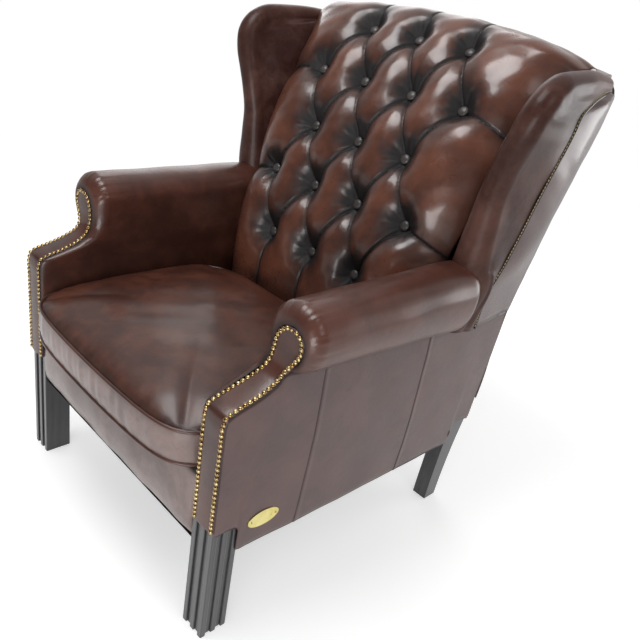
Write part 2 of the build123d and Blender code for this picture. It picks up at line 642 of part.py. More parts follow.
def roll_section(depth, share, flank=ROLL_OUTER):
    """Section through the arm roll: full outline round the arm rail."""
    seam = seam_level(depth)
    middle = Vector(ROLL_TOP_WIDTH, depth, ROLL_FLANK_HEIGHT)

    def shrink(x, z):
        return middle + (Vector(x, depth, z) - middle) * share

    inner = shrink(ARM_INNER, ROLL_FLANK_HEIGHT)
    top = shrink(ROLL_TOP_WIDTH, ROLL_TOP)
    outer = shrink(flank, ROLL_FLANK_HEIGHT)
    lip = shrink(between(HALF, flank, LIP_share), seam + COVER)
    root_inner = Vector(inner.X, depth, ARM_RAIL_TOP)
    root_frame = Vector(ARM_FRAME_INNER, depth, ARM_RAIL_TOP)
    rail_top = Vector(HALF, depth, ARM_RAIL_TOP)
    seam_point = Vector(HALF, depth, seam)
    shoulder = SHOULDER_share * (ROLL_TOP - ROLL_FLANK_HEIGHT) * share
    turned = (flank - ROLL_TOP_WIDTH) / (ROLL_OUTER - ROLL_TOP_WIDTH)
    across = (0, 1, 0)
    edges = [Line(root_inner, inner), *chords(bulge(inner, top, shoulder, across)),
             *chords(bulge(top, outer, shoulder * turned, across)),
             *chords(bulge(outer, lip, shoulder * turned, across)),
             Line(lip, seam_point), Line(seam_point, rail_top),
             Line(rail_top, root_frame), Line(root_frame, root_inner)]
    return make_face(edges)


def seam_level(depth):
    """Height of the seam under the roll of the arm, falling to the foot of the welt."""
    share = (depth - SCROLL_FACE_DEPTH) / (WELT_FOOT - SCROLL_FACE_DEPTH)
    return between(ARM_SEAM_FRONT, ARM_SEAM_REAR, share)


def arm_roll(growth=1):
    """Roll of stuffing over the arm rail, thinning to the wing's seam at the back."""
    front = roll_section(SCROLL_FACE_DEPTH, ROLL_FRONT_share * growth)
    full = roll_section(ROLL_FULL_DEPTH, growth)
    taper = roll_section(ROLL_TAPER_DEPTH, growth)
    rear = roll_section(ROLL_END_DEPTH, growth, HALF + ROLL_END_FLANK)
    stack = [front, full, taper, rear]
    return [loft([a, b], ruled=True) for a, b in zip(stack, stack[1:])]


def arm_pad():
    """Stuffed arm: inner wall and the roll over the arm rail."""
    bottom = side_point(0, DECK_TOP - DECK_THICKNESS)
    end = sweep_points(0)[2]
    back = [end, side_point(SCROLL_FACE_DEPTH, ARM_RAIL_TOP),
            side_point(ROLL_END_DEPTH, ARM_RAIL_TOP),
            side_point(ROLL_END_DEPTH, DECK_TOP - DECK_THICKNESS), bottom]
    pad = side_plate(sweep_edges(bottom) + [Line(a, b) for a, b in zip(back, back[1:])],
                     (ARM_INNER, ARM_FRAME_INNER))
    for piece in arm_roll():
        pad += piece
    return pad - wing_stile()


def side_panel():
    """Outside cover of the arm and seat, cut out round the rear leg."""
    bottom = side_point(0, REED_HEIGHT)
    rear_edge = [(POST_BEND_FACE + POST_BEND_THICKNESS + COVER, ARM_SEAM_REAR),
                 (LEG_SWELL_FACE + LEG_SWELL_THICKNESS + COVER, LEG_SWELL_HEIGHT)]
    arch = [(LEG_SWELL_FACE + LEG_SWELL_THICKNESS - COVER, ARCH_TOP - COVER)]
    points = [(SCROLL_FACE_DEPTH, SWEEP_END_HEIGHT), (SCROLL_FACE_DEPTH, ARM_RAIL_TOP),
              (rear_edge[0][0], ARM_RAIL_TOP)] + rear_edge + arch
    outline = [side_point(*p) for p in points]
    arch_front = side_point(ARCH_DEPTH, SIDE_HEM_REAR)
    arch_crown = side_point(between(ARCH_DEPTH, outline[-1].Y, 0.35), ARCH_TOP)
    hem = [arch_front, side_point(LEG_DEPTH, SIDE_HEM_FRONT), side_point(LEG_DEPTH, REED_HEIGHT),
           bottom]
    edges = sweep_edges(bottom) + [Line(a, b) for a, b in zip(outline, outline[1:])]
    edges += [Line(outline[-1], arch_crown),
              side_bulge(arch_crown, arch_front, ARCH_ROUND_share * (ARCH_TOP - SIDE_HEM_REAR))]
    edges += [Line(a, b) for a, b in zip(hem, hem[1:])]
    panel = side_plate(edges, (HALF, OUTER))
    past = rear_edge[0][0] + OVERRUN
    front = SCROLL_FACE_DEPTH - FACING_THICKNESS
    seam = [(front, seam_level(front) - SEAM_GAP), (WELT_FOOT, ARM_SEAM_REAR - SEAM_GAP),
            (past, ARM_SEAM_REAR - SEAM_GAP)]
    return panel - side_polygon(seam + [(past, ROLL_TOP), (front, ROLL_TOP)],
                                (HALF - OVERRUN, OUTER + OVERRUN))


def front_border():
    """Leather over the front seat rail, a little swelled."""
    low, high = SEAT_RAIL_TOP - FRONT_RAIL_HEIGHT, DECK_TOP - DECK_THICKNESS
    back_low, back_high = side_point(RAIL_SETBACK, low), side_point(RAIL_SETBACK, high)
    front_low, front_high = side_point(0, low), side_point(0, high)
    edges = [Line(back_low, front_low), side_bulge(front_low, front_high, -BORDER_BULGE),
             Line(front_high, back_high), Line(back_high, back_low)]
    reach = LEG_INNER - SEAM_GAP
    return side_plate(edges, (-reach, reach))


# Nails and plate

def nail_row(edges, across, inset=False):
    """Places of nails along edges: point on the surface and the way the nail points."""
    places = []
    for edge in edges:
        count = max(round((edge.length - 2 * NAIL_INSET) / NAIL_PITCH), 1)
        for i in range(count + 1):
            share = (NAIL_INSET + (edge.length - 2 * NAIL_INSET) * i / count) / edge.length
            point, along = edge @ share, edge % share
            if inset:
                inward = Vector(0, 1, 0).cross(along) * NAIL_INSET
                places.append((point + inward, Vector(0, -1, 0)))
            else:
                places.append((Vector(across, point.Y, point.Z), along.cross(Vector(1, 0, 0)) * -1))
    return places


def facing_nails():
    """Close nails along both edges of the arm facing and round the scroll."""
    start = side_point(-FACING_THICKNESS, REED_HEIGHT)
    strip = sweep_edges(start, FACING_THICKNESS)
    places = []
    for across in (HALF - LEG_WIDTH + COVER + NAIL_INSET, OUTER - NAIL_INSET):
        places += nail_row(strip, across)
    lowest = SWEEP_END_HEIGHT + 2 * NAIL_RADIUS
    places += [place for place in nail_row(scroll_edges(), None, inset=True)
               if place[0].Z > lowest]
    head = extrude(RegularPolygon(NAIL_RADIUS, 6), amount=NAIL_HEIGHT, taper=NAIL_TAPER)
    return [Plane(origin=point + out * SEAM_GAP / 2, x_dir=(1, 0, 0), z_dir=out) * head
            for point, out in places]


def brass_plate():
    """Plain oval plate on the outside cover."""
    plane = Plane(origin=(OUTER, PLATE_DEPTH, PLATE_LEVEL), x_dir=(0, 1, 0), z_dir=(1, 0, 0))
    return plane * Rot(0, 0, -PLATE_TILT) * extrude(
        Ellipse(PLATE_LENGTH / 2, PLATE_HEIGHT / 2), amount=PLATE_THICKNESS)


# Wings

def wing_points():
    """Nose radius, middle of the nose, join, seam and rear corner at each level."""
    points = []
    for up, nose, beyond, rounding, join, seam, seam_beyond, rear_beyond, short in WING_shares:
        level = ARM_SEAM_REAR + WING_HEIGHT * up
        radius = NOSE_RADIUS * rounding
        middle = Vector(HALF + WING_FLARE * beyond, WING_FRONT + WING_REACH * nose + radius, level)
        inner = Vector(pad_half(level) + SEAM_GAP, WING_FRONT + WING_REACH * join, level)
        welt = Vector(HALF + WING_FLARE * seam_beyond, WING_FRONT + WING_REACH * seam, level)
        corner = Vector(HALF + WING_FLARE * rear_beyond, post_rear(level) - REAR_ROUND * short, level)
        points.append((radius, middle, inner, welt, corner))
    return points


def pad_half(height):
    """Half the width of the back pad, which widens upwards between the wings."""
    share = (height - ROLL_TOP) / (CREST_TOP - ROLL_TOP)
    return between(ARM_INNER, HALF - PAD_NECK, min(max(share, 0), 1)) - SEAM_GAP


def wing_section(radius, middle, inner, seam, corner):
    """Plan of the wing pad at one level."""
    slant = radius / 2 ** 0.5
    nose_in, nose_out = middle - Vector(radius, 0), middle + Vector(radius, 0)
    front = middle - Vector(0, radius)
    skin = Vector(COVER + SEAM_GAP, 0)
    back = Vector(0, SEAM_GAP)
    edges = [Line(inner, nose_in),
             *chords(ThreePointArc(nose_in, middle - Vector(slant, slant), front)),
             *chords(ThreePointArc(front, middle + Vector(slant, -slant), nose_out)),
             Line(nose_out, seam), Line(seam, seam - skin), Line(seam - skin, corner - skin - back),
             Line(corner - skin - back, Vector(inner.X, corner.Y, inner.Z) - back),
             Line(Vector(inner.X, corner.Y, inner.Z) - back, inner)]
    return make_face(edges)


def wing_stile():
    """Front upright of the wing frame, leaning out from the arm rail."""
    ends = []
    half = WING_STILE_THICKNESS / 2
    rear = WING_STILE_FACE + WING_STILE_DEPTH
    for across, level in ((WING_STILE_FOOT, ARM_RAIL_TOP), (WING_STILE_HEAD, WING_RAIL_TOP)):
        middle = HALF + across
        corners = [(middle - half, WING_STILE_FACE), (middle + half, WING_STILE_FACE),
                   (middle + half, rear), (middle - half, rear)]
        ends.append(make_face(Polyline(*[(x, y, level) for x, y in corners], close=True)))
    return loft(ends, ruled=True)


def wing_rail():
    """Top bar of the wing frame, from the stile back to the outer side of the post."""
    low = WING_RAIL_TOP - WING_RAIL_HEIGHT
    front = WING_STILE_FACE + WING_STILE_DEPTH
    inner = HALF + WING_STILE_HEAD - WING_STILE_THICKNESS / 2
    rear = post_rear(low) - COVER
    plan = [(inner, front), (inner + WING_RAIL_THICKNESS, front),
            (HALF + WING_RAIL_THICKNESS, rear), (HALF, rear), (HALF, post_face(low))]
    face = make_face(Polyline(*[(x, y, low) for x, y in plan], close=True))
    return extrude(face, amount=WING_RAIL_HEIGHT, dir=(0, 0, 1))


def frame_space():
    """Room behind the stuffing that the back frame and its webbing fill."""
    proud = WEBBING + SEAM_GAP
    low, high = ARM_RAIL_TOP - ARM_RAIL_HEIGHT, CREST_TOP + SEAM_GAP
    outline = [(post_face(low) - proud, low), (post_face(high) - proud, high),
               (2 * POST_TOP_FACE, high), (2 * POST_TOP_FACE, low)]
    return side_polygon(outline, (0, HALF + SEAM_GAP))


def wing_pad():
    """Stuffed wing wrapped round its leading edge and back to the seam."""
    pad = loft([wing_section(*level) for level in wing_points()], ruled=True)
    pad -= block((0, HALF + SEAM_GAP), (0, 2 * POST_TOP_FACE), (0, ARM_RAIL_TOP + SEAM_GAP))
    growth = 1 + SEAM_GAP / (ROLL_OUTER - ROLL_TOP_WIDTH)
    front = WELT_FOOT / 2
    under = side_polygon([(front, seam_level(front)), (WELT_FOOT, ARM_SEAM_REAR),
                          (front, ARM_SEAM_REAR)], (HALF, FRAME_WIDTH))
    for cutter in arm_roll(growth) + [under, frame_space(), wing_stile(), wing_rail()]:
        pad -= cutter
    return pad.solids().sort_by(SortBy.VOLUME)[-1]


def outside_wing():
    """Outside cover between the wing's seam and the rear corner."""
    faces = []
    inward = Vector(COVER, 0)
    for _, _, _, seam, corner in wing_points()[:WELT_LEVELS + 1]:
        start = seam + Vector(0, SEAM_GAP)
        faces.append(make_face(Polyline(start, corner, corner - inward, start - inward,
                                        close=True)))
    return loft(faces, ruled=True)


def wing_welt():
    """Cord sewn into the seam of the wing."""
    out = Vector(WELT_RADIUS + SEAM_GAP, 0)
    points = [seam + out for _, _, _, seam, _ in wing_points()[:WELT_LEVELS]]
    return cord(FilletPolyline(*points, radius=2 * WELT_RADIUS), WELT_RADIUS)


def outside_back():
    """Leather over the back of the frame, as wide as the rear corners of the wings."""
    low = (LEG_SWELL_FACE + LEG_SWELL_THICKNESS, LEG_SWELL_HEIGHT)
    bend = (POST_BEND_FACE + POST_BEND_THICKNESS, POST_BEND_HEIGHT)
    line = [low, bend, (post_rear(POST_TOP_HEIGHT), POST_TOP_HEIGHT),
            (post_rear(CREST_TOP), CREST_TOP)]
    sheet = side_polygon(line + [(depth + COVER, height) for depth, height in reversed(line)],
                         (-FRAME_WIDTH, FRAME_WIDTH))
    right = [(HALF, LEG_SWELL_HEIGHT - OVERRUN), (HALF, ARM_SEAM_REAR)]
    right += [(corner.X, corner.Z) for _, _, _, _, corner in wing_points()[:WELT_LEVELS + 1]]
    right.append((right[-1][0], CREST_TOP + OVERRUN))
    outline = right + [(-x, z) for x, z in reversed(right)]
    face = make_face(Polyline(*[(x, 0, z) for x, z in outline], close=True))
    return sheet & extrude(face, amount=2 * POST_TOP_FACE, dir=(0, 1, 0))


# Deep-buttoned back

def blend(a, b, share):
    return a + (b - a) * share


def line_normal(index):
    """Forward direction square to the line of the buttons, between two of its points."""
    (depth, height), (next_depth, next_height) = LINE[index], LINE[index + 1]
    return Vector(0, height - next_height, next_depth - depth).normalized()


def row_normal(row):
    """Forward direction at a whole row, the mean of its neighbours."""
    first, last = max(row - 1, 0), min(row, len(LINE) - 2)
    return (line_normal(first) + line_normal(last)).normalized()


def pad_point(across, row, height):
    """Point of the pad, a height above the line of the buttons."""
    index = min(int(row), len(LINE) - 2)
    share = row - index
    foot = blend(Vector(0, *LINE[index]), Vector(0, *LINE[index + 1]), share)
    out = blend(row_normal(index), row_normal(index + 1), share).normalized()
    return Vector(across, 0, 0) + foot + out * height


def side_column(row):
    """Where the stitched shell ends at a row, a little past the finished side."""
    if row >= len(LINE) - 2:
        return HALF + PAD_OVERHANG + PAD_TRIM
    return pad_half(pad_point(0, row, 0).Z) + PAD_TRIM


def guide(start, end, heights=LEVEL_shares):
    """Guide points of an edge between two places of the pad, at shares of its loft."""
    return [(blend(start[0], end[0], share), blend(start[1], end[1], share), height * PAD_LOFT)
            for share, height in zip(EVEN_shares, heights)]


def patch_points(bottom, top, left, right, over_shares=EVEN_shares, up_shares=EVEN_shares,
                 puff=0):
    """Guide points of a patch between four edges, swelled in the middle."""
    rows = []
    for j in range(5):
        row = []
        for i in range(5):
            point = []
            for axis in range(3):
                a = over_shares[i] if axis == 2 else EVEN_shares[i]
                b = up_shares[j] if axis == 2 else EVEN_shares[j]
                across = blend(left[j][axis], right[j][axis], a)
                up = blend(bottom[i][axis], top[i][axis], b)
                corners = blend(blend(bottom[0][axis], bottom[4][axis], a),
                                blend(top[0][axis], top[4][axis], a), b)
                point.append(across + up - corners)
            if 0 < i < 4 and 0 < j < 4:
                point[2] += puff * PUFF_shares[(i == 2) + (j == 2)] * PAD_LOFT
            row.append(pad_point(*point))
        rows.append(row)
    return rows


def curve_point(points, share):
    """Point of the smooth curve that guide points pull towards them."""
    while len(points) > 1:
        points = [blend(a, b, share) for a, b in zip(points, points[1:])]
    return points[0]


def stepped(points):
    return [curve_point(points, i / PATCH_STEPS) for i in range(PATCH_STEPS + 1)]


def facets(lines):
    """Two flat facets for every square between neighbouring lines of points."""
    faces = []
    for low, high in zip(lines, lines[1:]):
        for i in range(len(low) - 1):
            a, b, c, d = low[i], low[i + 1], high[i + 1], high[i]
            corners = ((a, b, c), (a, c, d)) if (a - c).length < (b - d).length else (
                (a, b, d), (b, c, d))
            faces += [flat_face(corner) for corner in corners]
    return faces


def flat_face(points):
    return make_face(Polyline(*points, close=True)).face()


def mirrored(points):
    return [Vector(-p.X, p.Y, p.Z) for p in points]


def patch_lines(grid):
    """Lines of points over a patch, drawn from its guide points."""
    columns = [stepped(row) for row in grid]
    return [list(line) for line in zip(*[stepped(list(column)) for column in zip(*columns)])]


def right_patches():
    """Guide points of every patch of the pad's right half."""
    half, pitch = BUTTON_PITCH / 2, BUTTON_PITCH
    last = RIDGE_COLUMN * pitch
    side = {row: side_column(row) for row in SIDE_ROWS_shares}
    low, low_pleat, waist, high_pleat, top, rear = SIDE_ROWS_shares

    def pleat(a, b):
        return guide(a, b, PLEAT_shares)

    patches = []
    for row in range(2, BUTTON_ROWS):
        for column in ((0, pitch) if row % 2 == 0 else (half,)):
            west, east = (column - half, row), (column + half, row)
            north, south = (column, row + 1), (column, row - 1)
            patches.append((column == 0, patch_points(
                pleat(south, east), pleat(west, north), pleat(south, west), pleat(east, north),
                puff=PUFF_share)))
    # Half diamonds along the bottom and the top, each from a pleat to a ridge
    for pleat_x, ridge_x, foot_x in ((0, half, half), (pitch, half, half),
                                     (pitch, pitch + half, last)):
        patches.append((False, patch_points(
            guide((pleat_x, low), (foot_x, low), BOTTOM_EDGE_shares),
            pleat((pleat_x, 1), (ridge_x, 2)),
            guide((pleat_x, low), (pleat_x, 1), PLEAT_DOWN_shares),
            guide((foot_x, low), (ridge_x, 2), RIDGE_DOWN_shares), TOWARDS_RIDGE_shares)))
        rows = BUTTON_ROWS
        patches.append((False, patch_points(
            pleat((pleat_x, rows), (ridge_x, rows - 1)),
            guide((pleat_x, top), (foot_x, top), TOP_EDGE_shares),
            guide((pleat_x, rows), (pleat_x, top), PLEAT_OVER_shares),
            guide((ridge_x, rows - 1), (foot_x, top), RIDGE_OVER_shares), TOWARDS_RIDGE_shares)))
        patches.append((False, patch_points(
            guide((pleat_x, top), (foot_x, top), TOP_EDGE_shares),
            guide((pleat_x, rear), (foot_x, rear), LEVEL_shares),
            guide((pleat_x, top), (pleat_x, rear), OVER_PLEAT_shares),
            guide((foot_x, top), (foot_x, rear), OVER_RIDGE_shares), TOWARDS_RIDGE_shares)))
    # Against the wing
    outer, inner = pitch + half, pitch
    patches.append((False, patch_points(
        guide((last, low), (side[low], low), BOTTOM_CORNER_shares),
        guide((outer, 2), (side[low_pleat], low_pleat), PLEAT_SIDE_shares),
        guide((last, low), (outer, 2), RIDGE_DOWN_shares),
        guide((side[low], low), (side[low_pleat], low_pleat), WING_EDGE_LOW_shares),
        FROM_RIDGE_shares)))
    ridge = guide((inner, 3), (side[waist], waist), RIDGE_SIDE_shares)
    patches.append((False, patch_points(
        guide((outer, 2), (side[low_pleat], low_pleat), PLEAT_SIDE_shares), ridge,
        pleat((outer, 2), (inner, 3)),
        guide((side[low_pleat], low_pleat), (side[waist], waist), WING_EDGE_MIDDLE_shares),
        up_shares=TOWARDS_RIDGE_shares)))
    patches.append((False, patch_points(
        ridge, guide((outer, 4), (side[high_pleat], high_pleat), PLEAT_SIDE_shares),
        pleat((inner, 3), (outer, 4)),
        guide((side[waist], waist), (side[high_pleat], high_pleat), WING_EDGE_UPPER_shares),
        up_shares=FROM_RIDGE_shares)))
    patches.append((False, patch_points(
        guide((outer, 4), (side[high_pleat], high_pleat), PLEAT_SIDE_shares),
        guide((last, top), (side[top], top), TOP_CORNER_shares),
        guide((outer, 4), (last, top), RIDGE_OVER_shares),
        guide((side[high_pleat], high_pleat), (side[top], top), WING_EDGE_TOP_shares),
        FROM_RIDGE_shares)))
    patches.append((False, patch_points(
        guide((last, top), (side[top], top), TOP_CORNER_shares),
        guide((last, rear), (side[rear], rear), LEVEL_shares),
        guide((last, top), (last, rear), OVER_RIDGE_shares),
        guide((side[top], top), (side[rear], rear), OVER_CORNER_shares), FROM_RIDGE_shares)))
    return patches


def pad_rear(height):
    """Depth of the flat rear of the pad, just in front of the webbing."""
    return post_face(height) - WEBBING - SEAM_GAP


def shell_rims():
    """Rims of the shell's right half from the middle of its foot: front edge and rear edge."""
    last = RIDGE_COLUMN * BUTTON_PITCH
    half = BUTTON_PITCH / 2
    low, side = SIDE_ROWS_shares[0], side_column(SIDE_ROWS_shares[0])
    pieces = []
    for start, end, heights in ((0, half, BOTTOM_EDGE_shares),
                                (half, BUTTON_PITCH, BOTTOM_EDGE_shares[::-1]),
                                (BUTTON_PITCH, last, BOTTOM_EDGE_shares),
                                (last, side, BOTTOM_CORNER_shares)):
        front = stepped([pad_point(*point) for point in guide((start, low), (end, low), heights)])
        rear = [Vector(x, pad_rear(PAD_FOOT_HEIGHT), PAD_FOOT_HEIGHT) for x in (start, end)]
        pieces.append((front, stepped(rear)))
    edges = (WING_EDGE_LOW_shares, WING_EDGE_MIDDLE_shares, WING_EDGE_UPPER_shares,
             WING_EDGE_TOP_shares)
    for row, next_row, heights in zip(SIDE_ROWS_shares, SIDE_ROWS_shares[1:], edges):
        front = stepped([pad_point(*point) for point in guide(
            (side_column(row), row), (side_column(next_row), next_row), heights)])
        pieces.append((front, stepped([rear_point(row), rear_point(next_row)])))
    return pieces


def rear_point(row):
    """Point at the rear of the shell's side, level with a row."""
    level = PAD_FOOT_HEIGHT if row == 0 else min(pad_point(0, row, 0).Z, CREST_TOP + SEAM_GAP)
    return Vector(side_column(row), pad_rear(level), level)


def closing_faces():
    """Walls of the shell, its flat rear, the strip over the crest rail and the top of each side."""
    top, rear = SIDE_ROWS_shares[-2:]
    rims = shell_rims()
    faces, outline = [], []
    for front, back in rims:
        faces += facets([front, back])
        faces += facets([mirrored(front), mirrored(back)])
        outline += back[1:] if outline else back
    faces.append(flat_face(outline + mirrored(outline[:0:-1])))
    last = RIDGE_COLUMN * BUTTON_PITCH
    columns = [0, BUTTON_PITCH / 2, BUTTON_PITCH, last, side_column(rear)]
    edge = []
    for start, end in zip(columns, columns[1:]):
        line = stepped([pad_point(start, rear, 0), pad_point(end, rear, 0)])
        edge += line[1:] if edge else line
    corner = rims[-1][1][-1]
    over = edge + [corner]
    faces.append(flat_face(over + mirrored(over[:0:-1])))
    curve = stepped([pad_point(*point) for point in guide(
        (side_column(top), top), (side_column(rear), rear), OVER_CORNER_shares)])
    for side in (curve + [corner], mirrored(curve + [corner])):
        faces.append(flat_face(side))
    return faces


def back_pad():
    """Deep-buttoned pad: every diamond a puffed patch, trimmed to fit between the wings."""
    faces = closing_faces()
    for centred, grid in right_patches():
        lines = patch_lines(grid)
        faces += facets(lines)
        if not centred:
            faces += facets([mirrored(line) for line in lines])
    pad = Solid(Shell(faces))
    crown = PAD_FOOT_HEIGHT + FRAME_WIDTH + WING_TOP
    ledge = WING_TOP + 2 * SEAM_GAP
    right = [(pad_half(PAD_FOOT_HEIGHT), PAD_FOOT_HEIGHT + SEAM_GAP)]
    right += [(pad_half(z), z) for z in (ROLL_TOP, CREST_TOP, ledge)]
    right += [(HALF + PAD_OVERHANG, ledge), (HALF + PAD_OVERHANG, crown)]
    outline = right + [(-x, z) for x, z in reversed(right)]
    face = make_face(Polyline(*[(x, 0, z) for x, z in outline], close=True))
    return pad & extrude(face, amount=2 * POST_TOP_FACE, dir=(0, 1, 0))


def button_places():
    """Column and row of every button: three and four to a row by turns."""
    places = []
    for row in range(1, BUTTON_ROWS + 1):
        start = -1 if row % 2 else -1.5
        count = 3 if row % 2 else 4
        places += [((start + i) * BUTTON_PITCH, row) for i in range(count)]
    return places


def back_buttons():
    """Covered buttons, each a low dome on the twine that pulls it in."""
    dome_shares = ((1, 0), (0.86, 0.5), (0.5, 0.88), (0.2, 1))
    dome = loft([Pos(0, 0, BUTTON_LIFT + BUTTON_DOME * rise) *
                 RegularPolygon(BUTTON_RADIUS * width, BUTTON_SIDES)
                 for width, rise in dome_shares], ruled=True)
    twine = Pos(0, 0, TWINE_GAP) * extrude(RegularPolygon(TWINE_RADIUS, 6),
                                           amount=BUTTON_LIFT - TWINE_GAP)
    button = dome + twine
    return [Plane(origin=pad_point(across, row, 0), x_dir=(1, 0, 0), z_dir=row_normal(row))
            * button for across, row in button_places()]


if __name__ == "__main__":
    os.makedirs("parts", exist_ok=True)
    leg = rear_leg()
    save_pair("front_leg", front_leg())
    save_pair("rear_leg", leg)
    save("front_seat_rail", front_rail())
    save("rear_seat_rail", rear_rail())
    save_pair("side_seat_rail", side_rail(leg))
    save("corner_blocks", Compound(corner_blocks()))
    save("corner_block_screws", Compound(block_screws()))
    save_pair("arm_front_post", arm_front_post())
    save_pair("arm_rail", arm_rail(leg))
    save("crest_rail", crest_rail())
    save("lower_back_rail", lower_back_rail())
    save("back_webbing", Compound(back_webbing()))
    save("seat_webbing", Compound(seat_webbing()))
    save("seat_deck", seat_deck())
    save("dust_cover", dust_cover())
    save("seat_cushion", seat_cushion())
    save("cushion_piping_top", cushion_piping(DECK_TOP + SEAM_GAP + CUSHION_BORDER))
    pad = arm_pad()
    save_pair("arm_facing", arm_facing(pad))
    save_pair("arm_pad", pad)
    save_pair("facing_nails", Compound(facing_nails()))
    save("brass_plate", brass_plate())
    save_pair("side_panel", side_panel())
    save("front_border", front_border())
    save("cushion_piping_bottom", cushion_piping(DECK_TOP + 2 * PIPING_RADIUS))
    save_pair("wing_stile", wing_stile())
    save_pair("wing_rail", wing_rail())
    save_pair("wing_pad", wing_pad())
    save_pair("outside_wing", outside_wing())
    save_pair("wing_welt", wing_welt())
    save("outside_back", outside_back())
    save("back_pad", back_pad())
    save("back_buttons", Compound(back_buttons()))
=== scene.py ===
from math import cos, pi, radians, sin, tau

import bpy
import numpy as np
from mathutils import Matrix, Vector


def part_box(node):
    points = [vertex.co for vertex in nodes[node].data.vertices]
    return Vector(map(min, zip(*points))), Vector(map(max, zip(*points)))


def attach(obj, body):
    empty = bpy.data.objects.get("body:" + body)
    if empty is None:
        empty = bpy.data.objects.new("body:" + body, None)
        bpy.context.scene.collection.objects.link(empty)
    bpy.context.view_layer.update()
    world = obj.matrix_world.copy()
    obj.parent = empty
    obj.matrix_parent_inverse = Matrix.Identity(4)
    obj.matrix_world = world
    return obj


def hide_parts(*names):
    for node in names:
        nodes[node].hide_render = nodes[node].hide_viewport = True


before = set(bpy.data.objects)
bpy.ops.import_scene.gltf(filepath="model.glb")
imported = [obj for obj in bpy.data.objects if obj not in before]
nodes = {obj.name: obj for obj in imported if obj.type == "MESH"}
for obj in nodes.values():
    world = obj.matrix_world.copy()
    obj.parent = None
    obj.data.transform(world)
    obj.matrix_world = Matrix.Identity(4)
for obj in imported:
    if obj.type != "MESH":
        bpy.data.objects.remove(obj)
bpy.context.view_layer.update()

# Depths below are measured back from the faces of the front legs, in metres.
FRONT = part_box("front_leg_right")[0].y
BUTTON_PITCH = 0.133
NAIL_PITCH = 0.0093
NAIL_INSET = 0.0052  # nail's middle from the edge of the facing
ARM_FACE, ARM_END = 0.112, 0.655


def ramp(value, low, high):
    return np.clip((value - low) / (high - low), 0, 1)


def smooth(value, low, high):
    share = ramp(value, low, high)
    return share * share * (3 - 2 * share)


def mix(low, high, share):
    return low + (high - low) * share


def through(rows, at):
    """Smooth curve through a table whose first column is the place on the curve."""
    rows = np.array(rows, float)
    knots, values = rows[:, 0], rows[:, 1:]
    slopes = np.gradient(values, knots, axis=0)
    at = np.clip(np.asarray(at, float), knots[0], knots[-1])
    i = np.clip(np.searchsorted(knots, at) - 1, 0, len(knots) - 2)
    step = knots[i + 1] - knots[i]
    s = ((at - knots[i]) / step)[..., None]
    step = step[..., None]
    return ((2 * s**3 - 3 * s**2 + 1) * values[i] + (s**3 - 2 * s**2 + s) * step * slopes[i]
            + (3 * s**2 - 2 * s**3) * values[i + 1] + (s**3 - s**2) * step * slopes[i + 1])


def bell(offset, width):
    return np.exp(-(offset / width) ** 2)


def unit(ways):
    return ways / np.linalg.norm(ways, axis=-1)[..., None]


def heading(rows, at, reach):
    """Direction of the curve through the rows at a place, not of unit length."""
    return through(rows, at + reach) - through(rows, at - reach)


def numbered(rows):
    return [(i, *row) for i, row in enumerate(rows)]


def stations(rows):
    """The rows with their distance along the line in front."""
    rows = np.array(rows, float)
    way = np.concatenate([[0], np.cumsum(np.linalg.norm(np.diff(rows, axis=0), axis=1))])
    return np.column_stack([way, rows])


def hermite(start, end, leave, arrive, s):
    s = s[:, None]
    return ((2 * s**3 - 3 * s**2 + 1) * start + (s**3 - 2 * s**2 + s) * leave
            + (3 * s**2 - 2 * s**3) * end + (s**3 - s**2) * arrive)


def ripple(points, size, seed=0):
    """Slow uneven swell of hand-stretched leather, about 1 high."""
    x, y, z = (points / size).T
    return (np.sin(2.1 * x + 1.3 * y - 0.7 * z + seed) * np.sin(1.7 * z - 1.1 * y + 2 * seed)
            + 0.6 * np.sin(3.9 * y + 2.3 * x + 1.9 * z + 3 * seed)
            + 0.4 * np.sin(6.1 * z - 4.7 * x + 3.1 * y + 5 * seed)) / 2


# Making and finishing pieces

def only(piece):
    bpy.ops.object.select_all(action="DESELECT")
    piece.select_set(True)
    bpy.context.view_layer.objects.active = piece


def start_piece(name):
    """Name the primitive that was just added."""
    piece = bpy.context.object
    piece.name = piece.data.name = name
    only(piece)
    return piece


def new_object(name, data):
    made = bpy.data.objects.new(name, data)
    bpy.context.scene.collection.objects.link(made)
    return made


def edit(selection):
    """Go into edit mode with everything or nothing selected."""
    bpy.ops.object.mode_set(mode="EDIT")
    bpy.ops.mesh.select_all(action=selection)


def end_edit():
    bpy.ops.object.mode_set(mode="OBJECT")


def face_outward(piece):
    only(piece)
    edit("SELECT")
    bpy.ops.mesh.normals_make_consistent(inside=False)
    end_edit()


def corners(piece):
    flat = np.empty(3 * len(piece.data.vertices))
    piece.data.vertices.foreach_get("co", flat)
    return flat.reshape(-1, 3)


def shape(piece, points, **marks):
    """Move the vertices to their places and keep a mark at each for the leather's colour."""
    piece.data.vertices.foreach_set("co", points.ravel())
    for name, values in marks.items():
        mark = piece.data.attributes.new(name, "FLOAT", "POINT")
        mark.data.foreach_set("value", np.clip(values, 0, 1).astype(np.float32))
    piece.data.update()
    return piece


def skin(name, across, along, place):
    """Leather laid over a form: place turns shares across and along it into points."""
    bpy.ops.mesh.primitive_grid_add(x_subdivisions=across, y_subdivisions=along, size=1,
                                    location=(0, 0, 0))
    piece = start_piece(name)
    flat = corners(piece) + 0.5
    points, marks = place(flat[:, 0], flat[:, 1])
    points[:, 1] += FRONT
    return shape(piece, points, **marks)


def thicken(piece, thickness=0.003):
    """Give a laid sheet its thickness on the inside."""
    only(piece)
    shell = piece.modifiers.new("thickness", "SOLIDIFY")
    shell.thickness = thickness
    shell.offset = -1
    bpy.ops.object.modifier_apply(modifier=shell.name)
    bpy.ops.object.shade_smooth()
    return piece


